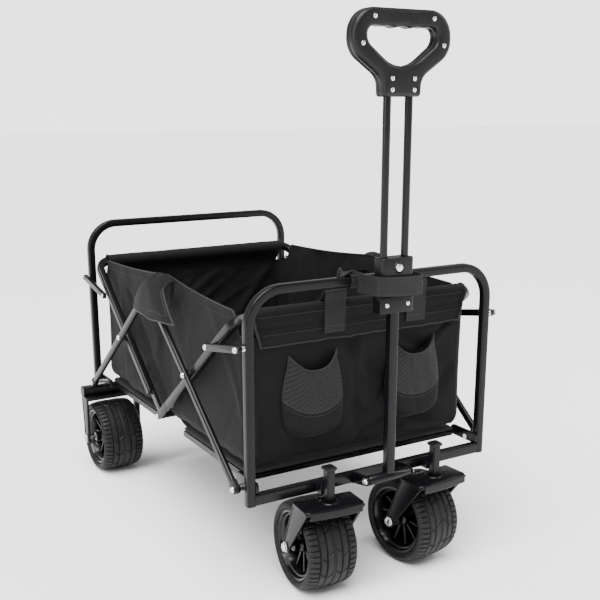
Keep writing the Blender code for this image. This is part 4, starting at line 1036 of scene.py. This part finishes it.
def hem(end, seed):
    """Sleeve round the hoop's top bar, with a stitched lower edge."""
    body = "basket_" + end.name
    ripple = creases(seed, 30, 0.25, (0.006, 0.03), 0.0011)
    base = smooth_line(HEM_SECTION, 44)
    reach, rows = 0.225, []
    for x in np.linspace(-reach, reach, 110):
        across = (x + reach) / (2 * reach)
        row = []
        for j, (out, up) in enumerate(base):
            swell = 1 + ripple(across, j / 43) / 0.0125
            slant = 1 - 0.06 * min(1.0, max(0.0, -up / 0.05)) * abs(x / reach) ** 6
            row.append(hem_point(end, x * slant, out * swell, up * (1 + (swell - 1) * 0.4)))
        rows.append(row)
    rows, outward = np.array(rows), -end.inward
    made = piece(end.name + "_hem_roll", grid(rows, ring=True, caps=True, smooth=60), FABRIC, body)
    binding = [bead(rows[:, -1], 0.0016, (0, 1, 0))] + [bead(rows[k, 18:]) for k in (0, -1)]
    trim = piece(end.name + "_hem_binding", joined(*binding), PIPING, body)
    lines = [stitches(rows[2:-2, j] + (0, outward * 0.0005, 0), (0, outward, 0))
             for j in (-6, -17)]
    run = piece(end.name + "_hem_stitching", joined(*lines), THREAD, body)
    panel = piece(end.name + "_panel_cloth", cloth(end_panel(end, seed + 5)), FABRIC, body,
                  f"basket_{end.name}_panel")


for side, sign in SIDES:
    side_cloth(side, sign, 20 + sign)
    apex_flap(side, sign, 50 + sign)
for end, seed in ((FRONT, 70), (REAR, 90)):
    hem(end, seed)


for k, x in enumerate((-0.067, 0.108)):
    loop = smooth_line([(-0.01, 0.011), (0.002, 0.016), (0.009, 0.026), (0.015, 0.033),
                        (0.0185, 0.03), (0.0158, 0.016), (0.0156, 0.0015), (0.0157, -0.011),
                        (0.015, -0.0235), (0.0152, -0.03), (0.0144, -0.0415)], 60)
    rows = [[hem_point(FRONT, x + 0.043 * s, out, up) for s in np.linspace(-0.5, 0.5, 8)]
            for out, up in loop]
    band = piece(f"hem_band_{k + 1}", cloth(rows, 0.0018), WEBBING, "basket_front")
    low = [hem_point(FRONT, x + s * 0.019, 0.016, -0.0385) for s in (-1, 1)]
    box = [hem_point(FRONT, x + s * 0.019, 0.0162, -0.029) for s in (1, -1)]
    run = piece(f"hem_band_stitching_{k + 1}",
                joined(stitches(low, FORWARD), stitches(box, FORWARD)), THREAD, "basket_front")


# ---- front pockets

def pocket(side, sign):
    """A gathered pocket: cloth below, netting above, an elastic edge that dips in the middle."""
    face = FRONT.hem - 0.0078
    count, tall = 44, 40
    ripple = creases(130 + sign, 14, 0.6, (0.03, 0.1), 0.0014)

    def rows_between(first, last, steps):
        rows = []
        for a in np.linspace(-1, 1, count):
            row = []
            for b in np.linspace(first, last, steps):
                half = 0.052 + 0.011 * math.sin(math.pi * min(1.0, 0.1 + b)) - 0.003 * b
                half *= 1 - 0.22 * (1 - min(1.0, b / 0.22)) ** 2.2
                top = 0.402 + 0.03 * abs(a) ** 2.4
                low = 0.279 + 0.008 * abs(a) ** 3
                z = low + (top - low) * b - 0.008 * (1 - a * a) * 4 * b * (1 - b)
                deep = 0.027 * math.sin(min(1.0, b / 0.2) * math.pi / 2) * (1 - 0.62 * b)
                round_side = (1 - abs(a) ** 3.2) ** 0.7
                out = 0.0016 + deep * round_side + 0.004 * b ** 6 * (1 - a * a)
                out += ripple((a + 1) / 2, b) * round_side
                row.append((sign * 0.108 + a * half,
                            face - out, z + 0.004 * (1 - a * a) * (b < 0.02)))
            rows.append(row)
        return np.array(rows)

    split = 0.46
    lower, upper = rows_between(0.0, split, tall // 2), rows_between(split, 1.0, tall // 2)
    base = piece("front_pocket_base_" + side, cloth(lower), FABRIC, "basket_front",
                 "front_pocket_" + side)
    net = piece("front_pocket_netting_" + side, cloth(upper, 0.0009), NETTING, "basket_front")
    edges = [bead(upper[:, -1], 0.0016, (0, 1, 0)), bead(lower[:, -1], 0.0011, (0, 1, 0))]
    edges += [bead(upper[k, ::-1], 0.001) for k in (0, -1)]
    trim = piece("front_pocket_edge_" + side, joined(*edges), PIPING, "basket_front")
    run = piece("front_pocket_stitching_" + side,
                stitches(lower[1:-1, -3] + (0, -0.0009, 0), FORWARD), THREAD, "basket_front")
    crumple(base, net, trim, run)


for side, sign in SIDES:
    pocket(side, sign)


# ---- floor of the basket

def floor_pad(end):
    """Stiffened floor board in its cloth cover, with a loose flap to the middle."""
    body = "floor_" + end.name
    near, far = end.floor - end.inward * 0.0095, end.floor + end.inward * 0.265
    puff = creases(200 + end.inward, 14, 0.7, (0.05, 0.12), 0.001)
    rows = []
    for s in np.linspace(0, 1, 64):
        y = near + (far - near) * s
        pinch = min(1.0, s / 0.03, (1 - s) / 0.03) ** 0.5
        half, rise = 0.2262 + 0.0022 * pinch, 0.35 + 0.65 * pinch
        outline = rounded_box(half, 0.004, 0.0036)
        ring = [(x, y, PAD_Z + z * rise) for x, z in outline[:10]]
        for x in np.linspace(half - 0.004, -half + 0.004, 60):
            share = (x + half) / (2 * half)
            crown = 0.0022 * min(1.0, share / 0.06, (1 - share) / 0.06)
            seam = 0.0016 * (math.exp(-((share - 0.333) / 0.006) ** 2)
                             + math.exp(-((share - 0.667) / 0.006) ** 2))
            ring.append((x, y, PAD_Z + (0.004 + crown - seam + puff(share, s)) * rise))
        rows.append(ring + [(x, y, PAD_Z + z * rise) for x, z in outline[10:] if z < 0])
    pad = piece(end.name + "_floor_pad", grid(rows, ring=True, caps=True, smooth=60), LINER, body,
                end.name + "_floor_panel")
    reach = Y_MIDDLE - end.inward * 0.0022
    start = far - end.inward * 0.006
    rows = []
    for x in np.linspace(-0.224, 0.224, 60):
        line = smooth_line([(start, 0.2322), (start + end.inward * 0.02, 0.2345),
                            (reach - end.inward * 0.024, 0.244),
                            (reach - end.inward * 0.008, 0.2492), (reach, 0.25)], 18)
        rows.append([(x, y, z + 0.0006 * math.sin(x * 60 + y * 90)) for y, z in line])
    flap = piece(end.name + "_floor_flap", cloth(rows, 0.0012, -1.0), LINER, body)


for end in ENDS:
    floor_pad(end)


# ---- handle strap

front_y = Y_HANDLE - 0.0185
route = [(-0.044, Y_FRONT - 0.0095), (-0.046, Y_HANDLE + 0.02), (-0.0425, front_y + 0.006),
         (-0.035, front_y + 0.0006), (-0.015, front_y - 0.0004), (0.015, front_y - 0.0004),
         (0.04, front_y + 0.001), (0.051, front_y + 0.007), (0.0545, Y_HANDLE + 0.022),
         (0.053, Y_FRONT - 0.0095)]
line = smooth_line(route, 76)
rows = []
for k, (x, y) in enumerate(line):
    lean = 0.0022 * math.sin(k * 0.09)
    rows.append([(x, y + 0.0006 * math.sin(t * 9 + k * 0.2), 0.5525 + lean + t * 0.033)
                 for t in np.linspace(-0.5, 0.5, 12)])
rows = np.array(rows)
band = piece("closure_band", cloth(rows, 0.0021), WEBBING, "front_frame", "closure_strap")
lines = [stitches(rows[3:-3, j] + (0, -0.0012, 0), FORWARD) for j in (1, -2)]
run = piece("closure_band_stitching", joined(*lines), THREAD, "front_frame")
rows = []
for t in np.linspace(0, 1, 30):
    middle = np.array((-0.044 - 0.04 * t, Y_FRONT - 0.012 + 0.017 * math.sin(t * 2.6),
                       0.556 + 0.015 * math.sin(t * 2.9)))
    turn = 0.5 + 2.3 * t
    wide = 0.029 * (1 - 0.35 * math.sin(math.pi * t))
    way = np.array((0.35 * math.cos(turn), -0.3 * math.sin(turn), math.cos(turn) * 0.9))
    rows.append([middle + unit(way) * wide * s + (0, 0, 0.0012 * math.sin(s * 12))
                 for s in np.linspace(-0.5, 0.5, 12)])
tail = piece("closure_tail", cloth(rows, 0.0016), WEBBING, "front_frame")
loop = smooth_line([(-0.009, 0.007), (-0.011, 0.0), (-0.006, -0.0105), (0.006, -0.0108),
                    (0.0112, -0.003), (0.0108, 0.0085), (0.004, 0.0112), (-0.006, 0.0112),
                    (-0.01, 0.008)], 40)
wraps = []
for x in (-0.045, 0.052):
    rows = [[(x + s * 0.024, Y_FRONT + a, FRONT_TOP + b) for s in np.linspace(-0.5, 0.5, 6)]
            for a, b in loop]
    wraps.append(cloth(rows, 0.0018))
wrap = piece("closure_bar_wraps", joined(*wraps), WEBBING, "front_frame")
for made in (band, run):
    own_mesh(made)


# ---- floor, light and camera

def light(name, kind, heading, power, **values):
    """A lamp that shines along a heading."""
    lamp = bpy.data.lights.new(name, kind)
    lamp.energy = power
    for key, value in values.items():
        setattr(lamp, key, value)
    made = linked(name, lamp)
    made.rotation_euler = Vector(heading).to_track_quat("-Z", "Y").to_euler()
    return made


def area_light(name, place, aim, power):
    light(name, "AREA", Vector(aim) - Vector(place), power, shape="RECTANGLE", size=0.4,
          size_y=1.6).location = place


floor_mesh = bpy.data.meshes.new("studio_floor")
floor_mesh.from_pydata([(-30, -30, 0), (30, -30, 0), (30, 30, 0), (-30, 30, 0)], [],
                       [(0, 1, 2, 3)])
studio_floor = linked("studio_floor", floor_mesh)
pale = bpy.data.materials.new("pale_floor")
pale.use_nodes = True
surface = pale.node_tree.nodes["Principled BSDF"].inputs
surface["Base Color"].default_value = (0.9, 0.9, 0.9, 1)
surface["Roughness"].default_value = 0.9
floor_mesh.materials.append(pale)

# The backdrop is brighter to the camera than the light that the wagon gets from it.
world = bpy.data.worlds.new("studio")
world.use_nodes = True
tree = world.node_tree
sky = tree.nodes["Background"]
sky.inputs["Color"].default_value = (1.0, 1.0, 1.0, 1)
seen = tree.nodes.new("ShaderNodeLightPath")
level = tree.nodes.new("ShaderNodeMapRange")
level.inputs["To Min"].default_value, level.inputs["To Max"].default_value = 0.6, 2.9
tree.links.new(seen.outputs["Is Camera Ray"], level.inputs["Value"])
tree.links.new(level.outputs["Result"], sky.inputs["Strength"])
bpy.context.scene.world = world
light("overhead", "SUN", (0.35, 0.25, -1.0), 8.2, angle=math.radians(50))
area_light("key", (-2.4, -0.6, 1.5), (0, 0, 0.4), 38)
area_light("rim", (2.0, -1.0, 1.6), (0, 0, 0.5), 25)

lens = bpy.data.cameras.new("photo_camera")
lens.lens, lens.sensor_width = 55.4, 36.0
lens.shift_x, lens.shift_y = 0.025, 0.075
camera = linked("photo_camera", lens)
YAW, PITCH, ROLL = (math.radians(a) for a in (30.13, 14.45, -0.25))
camera.matrix_world = (Matrix.Translation((-0.9204, -1.65435, 0.8404))
                       @ Matrix.Rotation(-YAW, 4, "Z")
                       @ Matrix.Rotation(math.pi / 2 - PITCH, 4, "X")
                       @ Matrix.Rotation(ROLL, 4, "Z"))
bpy.context.scene.camera = camera
